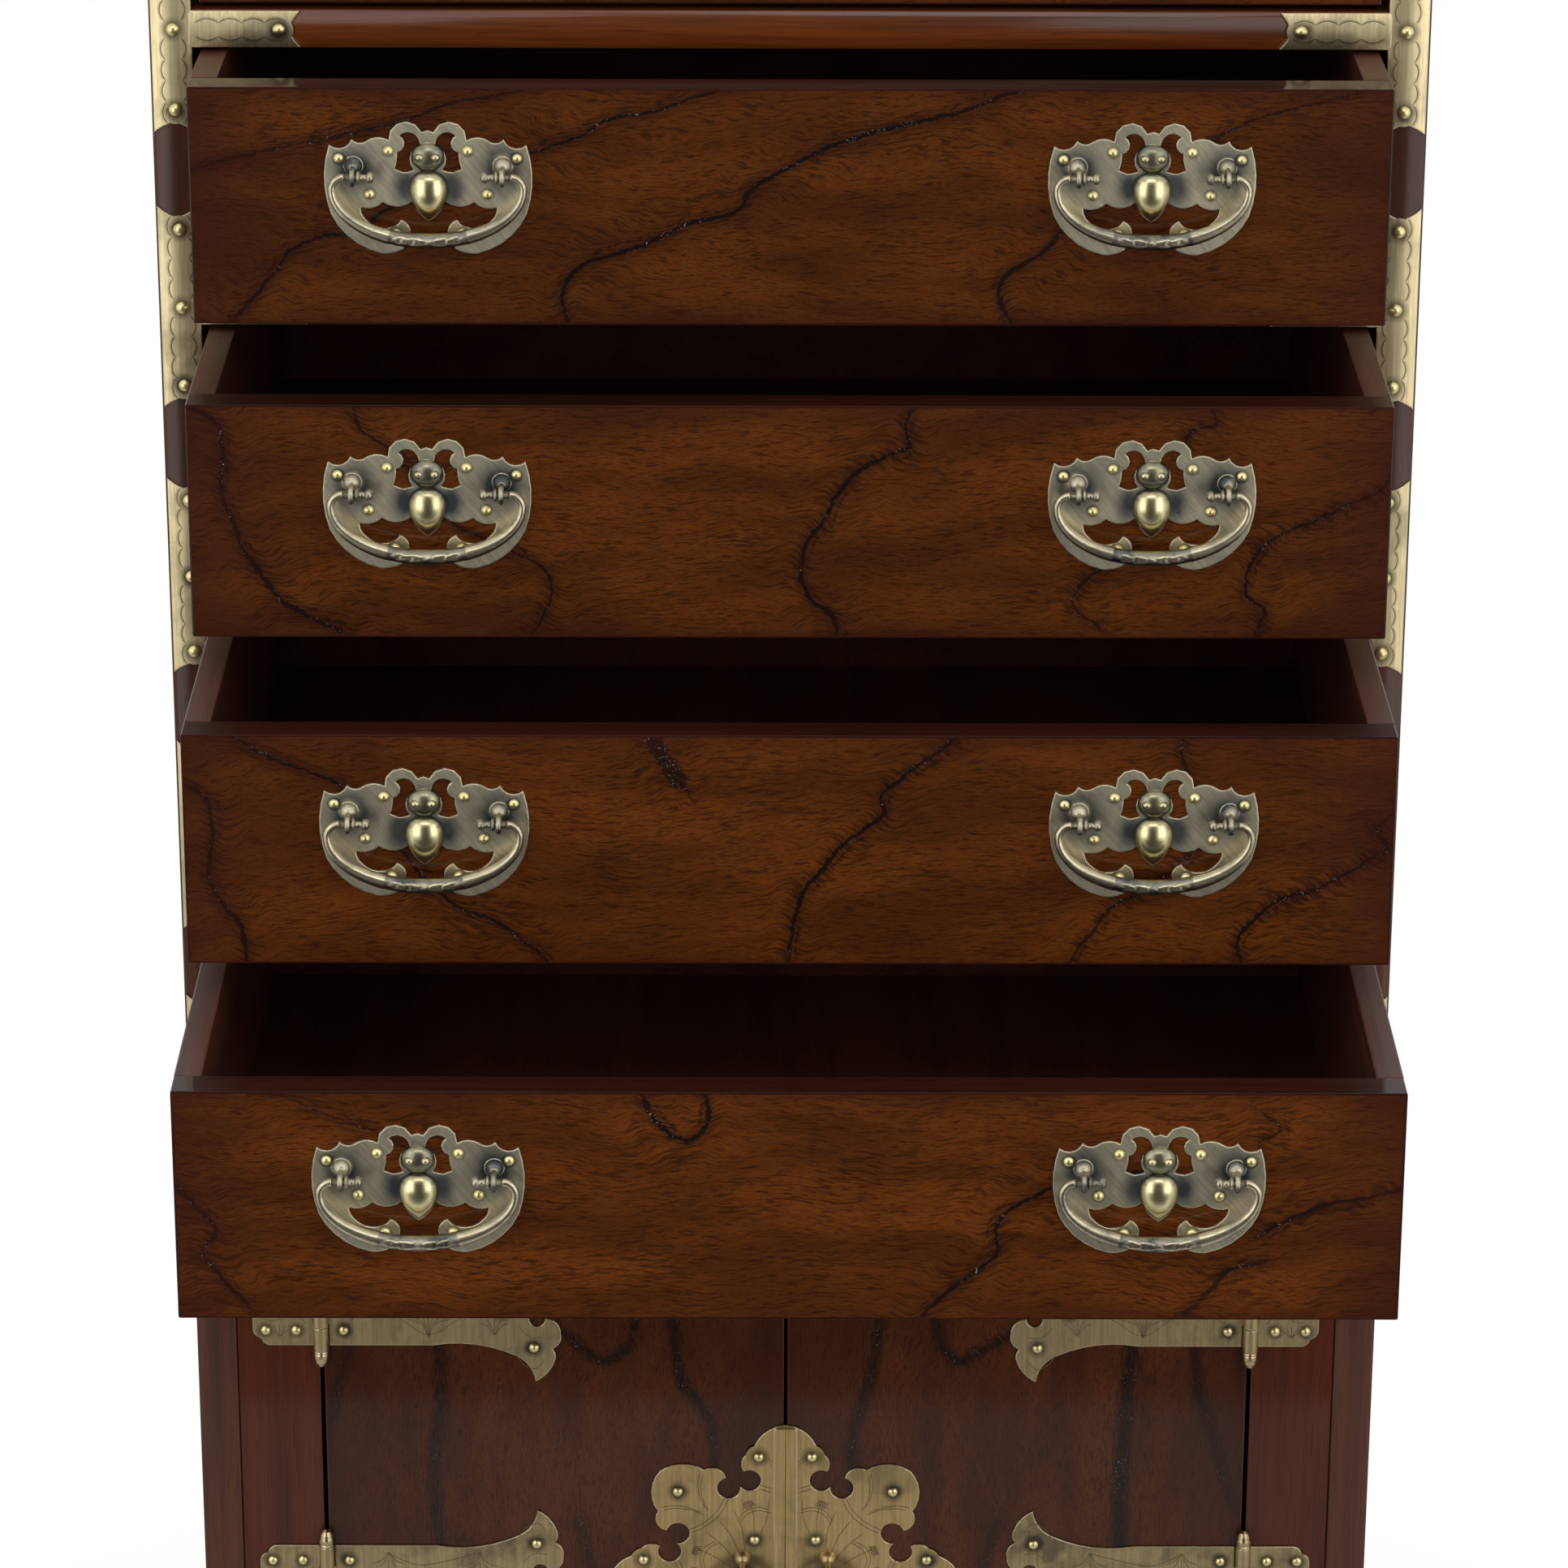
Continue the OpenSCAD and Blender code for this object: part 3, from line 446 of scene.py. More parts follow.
# Brasses, by what they are on
BRASSES = {
    "bracket": dict(light=(0.96, 0.80, 0.47), rough=0.42, blotch=0.45, edge=BRASS_EDGE),
    "pin": dict(light=(0.66, 0.51, 0.29), rough=0.24, blotch=0.3),
    "hinge": dict(light=(0.56, 0.42, 0.225), rough=0.38, blotch=0.7, edge=BRASS_EDGE, blotch_scale=34),
    "lock": dict(light=(0.70, 0.505, 0.225), rough=0.38, blotch=0.45, edge=BRASS_EDGE, whole_bar=True),
    "pull": dict(light=(0.94, 0.84, 0.60), dark=BRASS_BLUE, rough=0.38, blotch=0.42, edge=BRASS_EDGE,
                 streaks=(620, 620, 50), slant=0.7, sooty=pull_soot),
    "relief": dict(light=(1.0, 0.89, 0.50), dark=BRASS_BLUE, rough=0.25, blotch=0.15,
                   streaks=(300, 300, 60)),
    "bail": dict(light=(0.66, 0.585, 0.40), dark=BRASS_BLUE, rough=0.30, blotch=0.55,
                 streaks=ROUND_BRUSH, blotch_scale=60),
    "ring": dict(light=(0.40, 0.30, 0.19), rough=0.26, blotch=0.6, streaks=ROUND_BRUSH, blotch_scale=60),
    "nail": dict(light=(0.95, 0.82, 0.42), dark=(0.4, 0.3, 0.15), rough=0.34, blotch=0.12),
    "engraved": dict(light=(0.25, 0.19, 0.105), dark=(0.09, 0.07, 0.05), rough=0.5, blotch=0.6),
}


def make_materials():
    m = {key: wood_grain(*values) for key, values in WOODS.items()}
    for i in DRAWERS:
        tones = [[c * DRAWER_LIGHTNESS[i] for c in tone] for tone in DRAWER_TONES]
        m[f"veneer_{i}"] = figured_veneer(f"veneer_{i}", *tones, seed=11.0 * i)
    for side, seed in DOOR_SEEDS.items():
        m[f"door_{side}"] = figured_veneer(f"door_veneer_{side}", *DOOR_TONES, along="Z", seed=seed,
                                           curl=0.55, strokes_dark=0.5, soft=0.8)
    for key, values in BRASSES.items():
        m[key] = brass(f"{key}_brass", **values)
    return m


# Meshes


def piece(name, verts, faces, material, body, attributes, smooth=True):
    """A mesh piece from points in millimetres, riding on a body; attributes have a value for each point."""
    mesh = bpy.data.meshes.new(name)
    mesh.from_pydata([tuple(c * MM for c in v) for v in verts], [], faces)
    mesh.materials.append(material)
    for key, values in attributes.items():
        mesh.attributes.new(key, "FLOAT", "POINT").data.foreach_set("value", np.asarray(values, np.float32))
    mesh.polygons.foreach_set("use_smooth", [smooth] * len(mesh.polygons))
    mesh.update()
    made = add_object(name, mesh)
    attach(made, body)
    return made


def circle(sides):
    """Cosine and sine of the angles all round, from 0."""
    turns = [2 * math.pi * k / sides for k in range(sides)]
    return [(math.cos(a), math.sin(a)) for a in turns]


class Batch:
    """Points, faces and a patina value for each point, gathered into one piece; a shade skin's values are
    painted shade.
    """

    def __init__(self):
        self.verts, self.faces, self.patina = [], [], []

    def add(self, verts, faces, patina=None):
        base = len(self.verts)
        self.verts += verts
        self.faces += [tuple(base + k for k in f) for f in faces]
        self.patina += patina if patina is not None else [0.0] * len(verts)

    def make(self, name, material, body, slot="brass_mounts"):
        return piece(name, self.verts, self.faces, material, body, {"patina": self.patina})


def grid_faces(rows, columns, wrap=False, flip=False):
    """Four-cornered faces between rows of points.

    A row has one point more than it has faces, or as many where wrap joins its ends. flip turns them over.
    """
    row = columns if wrap else columns + 1
    faces = []
    for i in range(rows):
        for k in range(columns):
            near, far = i * row, (i + 1) * row
            n = (k + 1) % row
            corners = (near + k, near + n, far + n, far + k)
            faces.append((corners[0], corners[3], corners[2], corners[1]) if flip else corners)
    return faces


# How far the brackets' face may stand before its ideal crown
CROWN_PLAY = 0.05


def post_surface(x, z):
    """Y of the brackets' face over a post, by its crown."""
    offset = min(abs(abs(x) - (POST_IN + POST_W / 2)), POST_W / 2)
    return FRONT_Y - BRACKET_T - CROWN_PLAY + CROWN * (2 * offset / POST_W) ** 2


def rail_surface(z_mid):
    """Y of the brackets' face over the rail at that height."""
    def at(x, z):
        return FRONT_Y - BRACKET_T - CROWN_PLAY + CROWN * (2 * (z - z_mid) / RAIL_H) ** 2
    return at


def flat_surface(y):
    return lambda x, z: y


# Section of a nail's head: share of its radius, and of its rise
DOME = [(1.0, 0.0), (1.0, 0.12), (0.93, 0.38), (0.78, 0.62), (0.56, 0.82), (0.3, 0.95)]
DOME_SIDES = 20
# Radius and rise of the nails on the brackets, on the door plates and on the pulls
BRACKET_NAIL = (3.0, 2.1)
PLATE_NAIL = (2.5, 1.8)
PULL_NAIL = (2.3, 1.7)


def add_nail(batch, x, z, y, radius, rise):
    """A domed nail head on a surface at y, facing -Y."""
    verts = [(x + radius * r * c, y - rise * h, z + radius * r * s) for r, h in DOME
             for c, s in circle(DOME_SIDES)]
    verts.append((x, y - rise, z))
    faces = grid_faces(len(DOME) - 1, DOME_SIDES, wrap=True)
    base = (len(DOME) - 1) * DOME_SIDES
    faces += [(base + k, base + (k + 1) % DOME_SIDES, len(verts) - 1) for k in range(DOME_SIDES)]
    batch.add(verts, faces)


# Patina round a nail or a ring's eye: inner and outer radius, and strength
BRACKET_HALO = (2.6, 6.5, 0.9)
LEAF_HALO = (2.2, 5.2, 1.0)
STRAP_HALO = (2.2, 6.0, 1.0)
LOCK_HALO = (2.2, 6.4, 1.0)
RING_HALO = (3, 15, 0.85)
PULL_HALO = (2.0, 3.6, 0.6)
# Skins that may overlap lie at heights of their own, under the engraved lines
RING_SOOT_LIFT = 0.03
HALO_LIFT = 0.05
SHADE_LIFT = 0.07
LINE_LIFT = 0.09
# The painted shade beside a line: where it has points, as shares of its width, and its strength on the line
SHADE_SHARES = (0, 0.3, 0.65, 1)
SHADE_STRENGTH = 0.55


def add_halo(batch, x, z, surface, inner, outer, strength, clip=None, lift=HALO_LIFT):
    """A skin of patina round a nail: darkest beside it, gone at its rim."""
    rings, sides = 5, 24
    verts, patina = [], []
    for i in range(rings + 1):
        f = i / rings
        r = inner + (outer - inner) * f
        for c, s in circle(sides):
            px, pz = x + r * c, z + r * s
            if clip:
                px = min(max(px, clip[0]), clip[1])
                pz = min(max(pz, clip[2]), clip[3])
            verts.append((px, surface(px, pz) - lift, pz))
            patina.append(strength * (1 - f) ** 1.1)
    batch.add(verts, grid_faces(rings, sides, wrap=True, flip=True), patina)


def left_of(points, i):
    """Unit vector to the left of a line at its point i."""
    ahead = Vector(points[min(i + 1, len(points) - 1)]) - Vector(points[max(i - 1, 0)])
    return Vector((-ahead.y, ahead.x)).normalized()


def add_shade(batch, points, surface, width):
    """A skin of painted shade along the left of a line, kept as patina values: darkest on the line, gone at
    its far edge.
    """
    verts, patina = [], []
    last = len(points) - 1
    for i, (x, z) in enumerate(points):
        left = left_of(points, i) * width
        for share in SHADE_SHARES:
            px, pz = x + share * left.x, z + share * left.y
            verts.append((px, surface(px, pz) - SHADE_LIFT, pz))
            patina.append(SHADE_STRENGTH * (1 - share) ** 1.3 * (0.4 if i in (0, last) else 1))
    faces = grid_faces(last, len(SHADE_SHARES) - 1, flip=True)
    batch.add(verts, faces if width > 0 else [face[::-1] for face in faces], patina)


def add_line(batch, points, surface, width):
    """An engraved line: a thin strip along points (x, z) on a surface, tapering at both ends."""
    verts = []
    last = len(points) - 1
    for i, (x, z) in enumerate(points):
        side = left_of(points, i) * width / 2 * (0.35 if i in (0, last) else 1)
        for s in (1, -1):
            px, pz = x + s * side.x, z + s * side.y
            verts.append((px, surface(px, pz) - LINE_LIFT, pz))
    batch.add(verts, [(2 * i, 2 * i + 1, 2 * i + 3, 2 * i + 2) for i in range(last)])


def arc(x0, z0, x1, z1, bow, count=8):
    """Points from one end to the other along an arc that bows out to its left by bow."""
    chord = Vector((x1 - x0, z1 - z0))
    left = Vector((-chord.y, chord.x)).normalized()
    points = []
    for i in range(count + 1):
        f = i / count
        p = Vector((x0, z0)) + chord * f + left * bow * 4 * f * (1 - f)
        points.append((p.x, p.y))
    return points


def spline_at(f, before, start, end, after):
    """Catmull-Rom value at f from start, 0, to end, 1."""
    return 0.5 * (2 * start + (end - before) * f
                  + (2 * before - 5 * start + 4 * end - after) * f * f
                  + (3 * start - before - 3 * end + after) * f ** 3)


def curve_through(points, count=6):
    """Smooth points through the given ones, by Catmull-Rom."""
    out = []
    p = [points[0], *points, points[-1]]
    for i in range(1, len(p) - 2):
        for k in range(count):
            f = k / count
            out.append(tuple(spline_at(f, *(q[axis] for q in p[i - 1:i + 3])) for axis in (0, 1)))
    out.append(tuple(points[-1]))
    return out


class Dressing:
    """The nails, patina and engraved lines on one set of brass plates, with painted shade beside the
    brackets' scallops.
    """

    def __init__(self):
        self.nails, self.halos, self.cuts = Batch(), Batch(), Batch()

    def nail(self, x, z, surface, size, halo, clip=None):
        """A nail on a surface, with its halo."""
        add_nail(self.nails, x, z, surface(x, z), *size)
        add_halo(self.halos, x, z, surface, *halo, clip=clip)

    def make(self, name, m, metal, body):
        """Makes the pieces; each puts its own word into name, and the patina and painted shade have the
        plates' metal.
        """
        for batch, word, key in ((self.nails, "nails", "nail"), (self.halos, "patina", metal),
                                 (self.cuts, "engraving", "engraved")):
            if batch.verts:
                batch.make(name.format(word), m[key], body)


# Brackets

NAIL_IN = 8.2
NAIL_UP = 36.5
NAIL_ALONG = 39.0
SCALLOP = 10.2
SCALLOP_BOW = 1.9
# From an arm's middle line to the ends of its scallops, on a post and on a rail
SCALLOP_POST = 5.6 - SCALLOP_BOW
SCALLOP_RAIL = 4.9 - SCALLOP_BOW
# Where the scallops start and end: up a post from a rail's middle, and along a rail from the post
SCALLOPS_UP = (4, NAIL_UP + 6)
SCALLOPS_ALONG = (2, 43)
SCALLOP_LINE = 0.42
# Width of the painted shade outside each scallop
SCALLOP_SHADE = 1.5
# What the patina may cover: the width and reach of a post arm, and half the height of a rail arm
POST_ARM = (POST_IN + 0.4, POST_OUT - 1.4)
POST_ARM_REACH = 46
RAIL_ARM_HALF = 7.9


def scallops(dressing, start, end, across, mid, surface, upright):
    """A row of arcs that bow outwards, on both sides of an arm's middle line, with a painted shade outside
    each.
    """
    count = round(abs(end - start) / SCALLOP)
    step = (end - start) / count
    for s in (-1, 1):
        for k in range(count):
            a, b = start + k * step, start + (k + 1) * step
            turn = s * (1 if step > 0 else -1)
            if upright:
                points = arc(mid + s * across, a, mid + s * across, b, -turn * SCALLOP_BOW)
            else:
                points = arc(a, mid + s * across, b, mid + s * across, turn * SCALLOP_BOW)
            add_line(dressing.cuts, points, surface, SCALLOP_LINE)
            # Painted shade outside each arc, put with the halos into the patina piece
            outwards = -turn if upright else turn
            add_shade(dressing.halos, points, surface, math.copysign(SCALLOP_SHADE, outwards))


def dress_brackets(m):
    brackets = Dressing()
    for side in (-1, 1):
        nail_x = side * (POST_IN + NAIL_IN)
        clip = sorted(side * x for x in POST_ARM)
        for z, ways in [(TOP_RAIL_Z, (-1,)), (LOW_RAIL_Z, (1,))] + [(z, (-1, 1)) for z in RAIL_ZS[1:]]:
            spots = [(nail_x, z)] + [(nail_x, z + w * NAIL_UP) for w in ways]
            post_clip = (*clip, z - POST_ARM_REACH, z + POST_ARM_REACH)
            for x, nz in spots:
                brackets.nail(x, nz, post_surface, BRACKET_NAIL, BRACKET_HALO, post_clip)
            rail = rail_surface(z)
            rail_clip = (-POST_IN, POST_IN, z - RAIL_ARM_HALF, z + RAIL_ARM_HALF)
            along_x = side * (POST_IN - NAIL_ALONG)
            brackets.nail(along_x, z, rail, BRACKET_NAIL, BRACKET_HALO, rail_clip)
            for w in ways:
                ends = [z + w * rise for rise in SCALLOPS_UP]
                scallops(brackets, *ends, SCALLOP_POST, nail_x, post_surface, True)
            ends = [side * (POST_IN - x) for x in SCALLOPS_ALONG]
            scallops(brackets, *ends, SCALLOP_RAIL, z, rail, False)
    # The bracket patina piece holds the scallops' painted shade as well as the halos
    brackets.make("bracket_{}", m, "bracket", "case")


# Doors and hinges

HINGE_X = abs(JOINTS["door_left_hinge"]["pos_m"][0]) / MM
DOOR_MID_Z = (low("door_left").z + high("door_left").z) / 2
STRAP_TOP = high("hinge_straps_left").z
# Half the height of a strap's tail, as in part.scad, which is the highest part of a strap
STRAP_TAIL_RISE = 2.1 * 17.6
HINGE_RISE = STRAP_TOP - STRAP_TAIL_RISE - DOOR_MID_Z
HINGE_ZS = [DOOR_MID_Z + HINGE_RISE * k for k in (1, 0, -1)]
PLATE_Y = FACE_Y - SHEET_T
HINGE_LINE = 0.28
LEAF_NAILS = [(-26.8, 9.5), (-26.8, -9.5), (-11.9, 9.5), (-11.9, -9.5)]
STRAP_NAILS = [(10.8, 9.5), (10.8, -9.5), (103, 18.7), (103, -18.7), (88, 0)]


def fan(x, z, way, spread=11.0, height=13.5, count=7):
    """Lines that fan out of one root like blades of grass; way is 1 for up and -1 for down."""
    lines = []
    for k in range(count):
        lean = 2 * k / (count - 1) - 1
        tip = (x + lean * spread, z + way * height * (1 - 0.28 * lean * lean))
        lines.append(curve_through([(x + lean * 0.4, z), (x + lean * 3.2, z + way * height * 0.5), tip], 4))
    return lines


def strap_lines():
    """The plant engraved on a strap, from (0, 0) at the pin: a waving stem with fans of blades."""
    lines = [curve_through([(13, -6), (24, 3), (38, -3), (52, -12), (66, -4), (80, 4), (92, -3)]),
             curve_through([(30, 13), (44, 7), (58, 9), (76, 14)])]
    lines += fan(52, -13, 1) + fan(30, 14, -1, 8, 9, 5)
    lines += fan(75, 14, -1, 9, 11, 5) + fan(84, -12, 1, 7, 9, 5)
    for way in (1, -1):
        lines.append(curve_through([(94, 22 * way), (98, 28 * way), (104, 30 * way), (108, 25 * way)], 5))
        lines.append(curve_through([(96, 8 * way), (101, 13 * way), (108, 13 * way)], 5))
    return lines


def leaf_lines():
    """The wave engraved on a hinge's short leaf."""
    wave = [(-7, -6), (-12, -1.5), (-17, -0.5), (-21, -4), (-25, -4.5), (-31, 1)]
    lines = [curve_through(wave, 5), curve_through([(x, -z) for x, z in wave], 5)]
    return lines + fan(-20, -13, 1, 6, 6, 5)


def dress_hinges(m):
    surface = flat_surface(PLATE_Y)
    leaves = Dressing()
    for name, side in SIDES.items():
        straps = Dressing()
        for z in HINGE_ZS:
            def at(x, rise):
                return side * (HINGE_X - x), z + rise
            for x, rise in LEAF_NAILS:
                leaves.nail(*at(x, rise), surface, PLATE_NAIL, LEAF_HALO)
            for x, rise in STRAP_NAILS:
                straps.nail(*at(x, rise), surface, PLATE_NAIL, STRAP_HALO)
            for line in leaf_lines():
                add_line(leaves.cuts, [at(*p) for p in line], surface, HINGE_LINE)
            for line in strap_lines():
                add_line(straps.cuts, [at(*p) for p in line], surface, HINGE_LINE)
        straps.make("strap_{}_" + name, m, "hinge", f"door_{name}")
    leaves.make("leaf_{}", m, "hinge", "case")


# Lock plate

LOCK_Z = (low("lock_plate_left").z + high("lock_plate_left").z) / 2
LOCK_NAILS = [(13, 69.6), (52.6, 50.6), (69.6, 13), (69.6, -13), (52.6, -50.6), (13, -69.6), (15, 24),
              (15, -24)]
LOCK_BAR = 5.5
RING_X = abs(JOINTS["ring_left_swing"]["pos_m"][0]) / MM
RING_SOOT_DROP = 6
RING_Z = JOINTS["ring_left_swing"]["pos_m"][2] / MM - RING_SOOT_DROP
PETAL_TURN = 45
LOCK_LINE = 0.3
FLUTES = (80, 69, 58, 47, 36, 24, 11)


def polar(r, turn):
    return r * math.cos(math.radians(turn)), r * math.sin(math.radians(turn))


def lock_lines():
    """Engraving on the lock plate's right half, about its centre: necks, lobes, flutes and hatching."""
    lines = []

    def add(turn, points):
        a = math.radians(turn)
        across = Vector((-math.sin(a), math.cos(a)))
        out = Vector((math.cos(a), math.sin(a)))
        line = curve_through([tuple(out * r + across * t) for r, t in points], 5)
        line = [p for p in line if p[0] > LOCK_BAR + 0.6]
        if len(line) > 2:
            lines.append(line)

    for turn in range(-2 * PETAL_TURN, 2 * PETAL_TURN + 1, PETAL_TURN):
        for r in (0, -2.2):
            add(turn, [(54.5 + r, -13), (52.3 + r, -6.5), (51.5 + r, 0), (52.3 + r, 6.5), (54.5 + r, 13)])
        for s in (1, -1):
            for r in (0, 2.0):
                add(turn, [(55 + r, 1.5 * s), (62 + r, 4.5 * s), (67.5 + r, 9 * s), (70.5 + r, 13.5 * s)])
    for turn in (-67.5, -22.5, 22.5, 67.5):
        for r in (0, -2.0):
            add(turn, [(40.5 + r, -8.5), (43.8 + r, -4), (44.6 + r, 0), (43.8 + r, 4), (40.5 + r, 8.5)])
        for k in range(-2, 3):
            add(turn, [(45.2, 1.3 * k - 0.9), (47.3, 1.1 * k), (49.2, 0.9 * k + 0.8)])
            add(turn, [(45.2, 1.3 * k + 0.9), (47.3, 1.1 * k), (49.2, 0.9 * k - 0.8)])
    for turn in FLUTES:
        for way in (1, -1):
            flute = [polar(47.5, way * turn), polar(37, way * turn * 0.95), polar(27, way * turn * 0.74)]
            lines.append(curve_through(flute, 5))
    return [line for line in lines if min(p[0] for p in line) > LOCK_BAR]


def dress_lock(m):
    surface = flat_surface(PLATE_Y)
    for name, side in SIDES.items():
        half = Dressing()
        for x, rise in LOCK_NAILS:
            half.nail(side * x, LOCK_Z + rise, surface, PLATE_NAIL, LOCK_HALO)
        for line in lock_lines():
            add_line(half.cuts, [(side * x, LOCK_Z + rise) for x, rise in line], surface, LOCK_LINE)
        add_halo(half.halos, side * RING_X, RING_Z, surface, *RING_HALO, lift=RING_SOOT_LIFT)
        half.make("lock_{}_" + name, m, "lock", f"door_{name}")


# Pulls

BAIL_OUT = 9.5
PIN_RISE = 1.4
PULL_NAILS = [(38.9, 7.8), (17.3, 11), (25.7, -8.3), (14.5, -26)]
HEAD_AT = 8.6
BODY = [(0, 2.3), (2.6, 2.2), (5.2, 1.4), (7.2, -0.6), (8.2, -3.6), (8.35, -7.2), (7.6, -11.0), (6.0, -14.2),
        (3.6, -17.0), (1.4, -18.9), (0, -20.0)]
# How deep the relief's body and head stand, against round ones
BODY_DEPTH = 0.68
HEAD_DEPTH = 0.55


def half_turn(count):
    """Angles from 0 to half a turn."""
    return [math.pi * k / count for k in range(count + 1)]


def add_revolved(batch, centre, profile, patina_at, sides=28, depth=1.0):
    """A bead turned about an upright axis from (radius, height) points, flattened in depth."""
    rings = curve_through(profile, 3)
    verts, patina = [], []
    for r, h in rings:
        wide = max(r, 0.02)
        for k in range(sides + 1):
            a = math.pi * k / sides
            out = (wide * math.cos(a), -wide * depth * math.sin(a), h)
            verts.append(tuple(c + step for c, step in zip(centre, out)))
            patina.append(patina_at(a, r, h))
    batch.add(verts, grid_faces(len(rings) - 1, sides), patina)


def add_relief(batch, x, y, z):
    """The bee-like relief on a pull: a long pointed body, a broad head and two small bosses."""
    def body_patina(a, r, h):
        return 0.9 * abs(math.cos(a)) ** 4 + min(max((h + 3) / 5, 0), 1) * 0.6

    def head_patina(a, r, h):
        return 0.25 * abs(math.cos(a)) ** 4 + 0.72

    def boss_patina(a, r, h):
        return 0.3

    add_revolved(batch, (x, y, z), BODY, body_patina, depth=BODY_DEPTH)
    head = [(7.3 * math.sin(b) ** 0.8, 6.1 * math.cos(b)) for b in half_turn(12)]
    add_revolved(batch, (x, y, z + HEAD_AT), head, head_patina, depth=HEAD_DEPTH)
    boss = [(2.0 * math.sin(b), 1.7 * math.cos(b)) for b in half_turn(8)]
    for s in (-1, 1):
        add_revolved(batch, (x + s * 3.5, y - 3.0, z + HEAD_AT + 0.4), boss, boss_patina, sides=16)


def dress_pulls(m):
    for i in DRAWERS:
        plates, reliefs = Dressing(), Batch()
        for side in SIDES:
            x0, y0, z0 = (c / MM for c in JOINTS[f"drawer_{i}_bail_{side}_swing"]["pos_m"])
            y_plate = y0 + BAIL_OUT - SHEET_T
            z_pull = z0 - PIN_RISE
            add_relief(reliefs, x0, y_plate, z_pull)
            surface = flat_surface(y_plate)
            for s in (-1, 1):
                for x, rise in PULL_NAILS:
                    plates.nail(x0 + s * x, z_pull + rise, surface, PULL_NAIL, PULL_HALO)
        plates.make(f"drawer_{i}_pull_" + "{}", m, "pull", f"drawer_{i}")
        reliefs.make(f"drawer_{i}_pull_relief", m["relief"], f"drawer_{i}")


# Bails

BAIL_HALF = 41.7
BAIL_DROP = 28.5
ELBOW_R = 5.5
# Share of a bail's half that its elbow takes
BEND_SHARE = 0.12
BAR_R = 1.75
GRIP_R = 3.7
EYE_X = 32.6
# The carving on the grip: half its length, where it fades out, its rise, and how far round it and its
# patina go, in radians from the front
RELIEF_HALF = 15.5
RELIEF_FADE = 2
RELIEF_RISE = 0.45
CARVED_TURN = 1.25
SOOTY_TURN = 1.3
HOLLOW_PATINA = 0.62
BAIL_RINGS = 220
BAIL_SIDES = 36


def bail_station(f):
    """Point (x, z), and bar radius, at f from 0 at one pin to 1 at the other."""
    s = 2 * min(f, 1 - f)
    if s < BEND_SHARE:
        a = math.pi / 2 * s / BEND_SHARE
        x, z, r = BAIL_HALF - ELBOW_R + ELBOW_R * math.sin(a), ELBOW_R * (math.cos(a) - 1), BAR_R
    else:
        a = math.pi / 2 * (s - BEND_SHARE) / (1 - BEND_SHARE)
        x = BAIL_HALF * math.cos(a)
        z = -ELBOW_R - (BAIL_DROP - ELBOW_R) * math.sin(a)
        r = BAR_R + (GRIP_R - BAR_R) * math.sin(a) ** 2
    return (x if f < 0.5 else -x), z, r


# Leaves on the grip: centre along and round it, half length and half width, and slant
GRIP_LEAVES = ((5.2, 0.42, 3.6, 0.30, 0.5), (5.2, -0.42, 3.6, 0.30, -0.5), (10.6, 0.36, 3.2, 0.26, 0.55),
               (10.6, -0.36, 3.2, 0.26, -0.55), (14.2, 0.0, 2.4, 0.22, 0.0))


def leaf_rise(x, turn):
    """Height of the carved leaves on the grip, 0 to 1: x runs along it, turn goes round from its front."""
    v = turn / 0.9
    u = abs(x)
    best = 0.0
    for cu, cv, half_u, half_v, slant in GRIP_LEAVES:
        du = (u - cu) / half_u
        dv = (v - cv - slant * 0.09 * (u - cu)) / half_v
        d = du * du + dv * dv
        if d < 1:
            vein = 0.35 if abs(dv) < 0.14 else 0.0
            best = max(best, math.sqrt(1 - d) - vein)
    stem = 1 - abs(v - 0.1 * math.sin(u * 1.1)) / 0.1
    if u < RELIEF_HALF:
        best = max(best, 0.55 * max(0.0, stem))
    flower = math.hypot(x / 2.3, v / 0.42)
    if flower < 1:
        best = max(best, (1 - flower ** 3) * (0.75 + 0.25 * math.cos(5 * math.atan2(v / 0.42, x / 2.3))))
    return best


def add_bail_bar(batch, at):
    """The swept bar of a bail, with carved leaves over the middle of its grip."""
    verts, patina = [], []
    for i in range(BAIL_RINGS + 1):
        f = i / BAIL_RINGS
        x, z, r = bail_station(f)
        ax, az, _ = bail_station(min(f + 0.002, 1))
        bx, bz, _ = bail_station(max(f - 0.002, 0))
        way = Vector((ax - bx, az - bz)).normalized()
        if i in (0, BAIL_RINGS):
            way = Vector((1, 0))
        out = Vector((-way.y, way.x))
        left = RELIEF_HALF + RELIEF_FADE - abs(x)
        inset = RELIEF_RISE * min(1.0, left / RELIEF_FADE) if left > 0 else 0.0
        for c, s in circle(BAIL_SIDES):
            turn = math.atan2(c, -s)
            carved = leaf_rise(x, turn) if left > 0 and abs(turn) < CARVED_TURN else 0.0
            rr = r - inset * 0.6 + RELIEF_RISE * carved
            verts.append((at[0] + x + rr * c * out.x, at[1] + rr * s, at[2] + z + rr * c * out.y))
            hollow = inset > 0 and abs(turn) < SOOTY_TURN
            patina.append(HOLLOW_PATINA * (1 - min(1.0, carved * 1.6)) if hollow else 0.0)
    faces = grid_faces(BAIL_RINGS, BAIL_SIDES, wrap=True, flip=True)
    first = range(BAIL_SIDES)
    faces += [tuple(first), tuple(BAIL_RINGS * BAIL_SIDES + k for k in reversed(first))]
    batch.add(verts, faces, patina)


PIN = [(0, -9.4), (1.4, -9.4), (2.2, -8.7), (2.6, -7.6), (2.4, -6.7), (1.5, -6.3), (1.5, -3.3), (2.6, -3.2),
       (3.0, -2.6), (2.9, -1.9), (1.6, -1.7), (1.6, 3.6), (0, 3.6)]
PIN_SIDES = 24
PIN_PATINA = 0.35


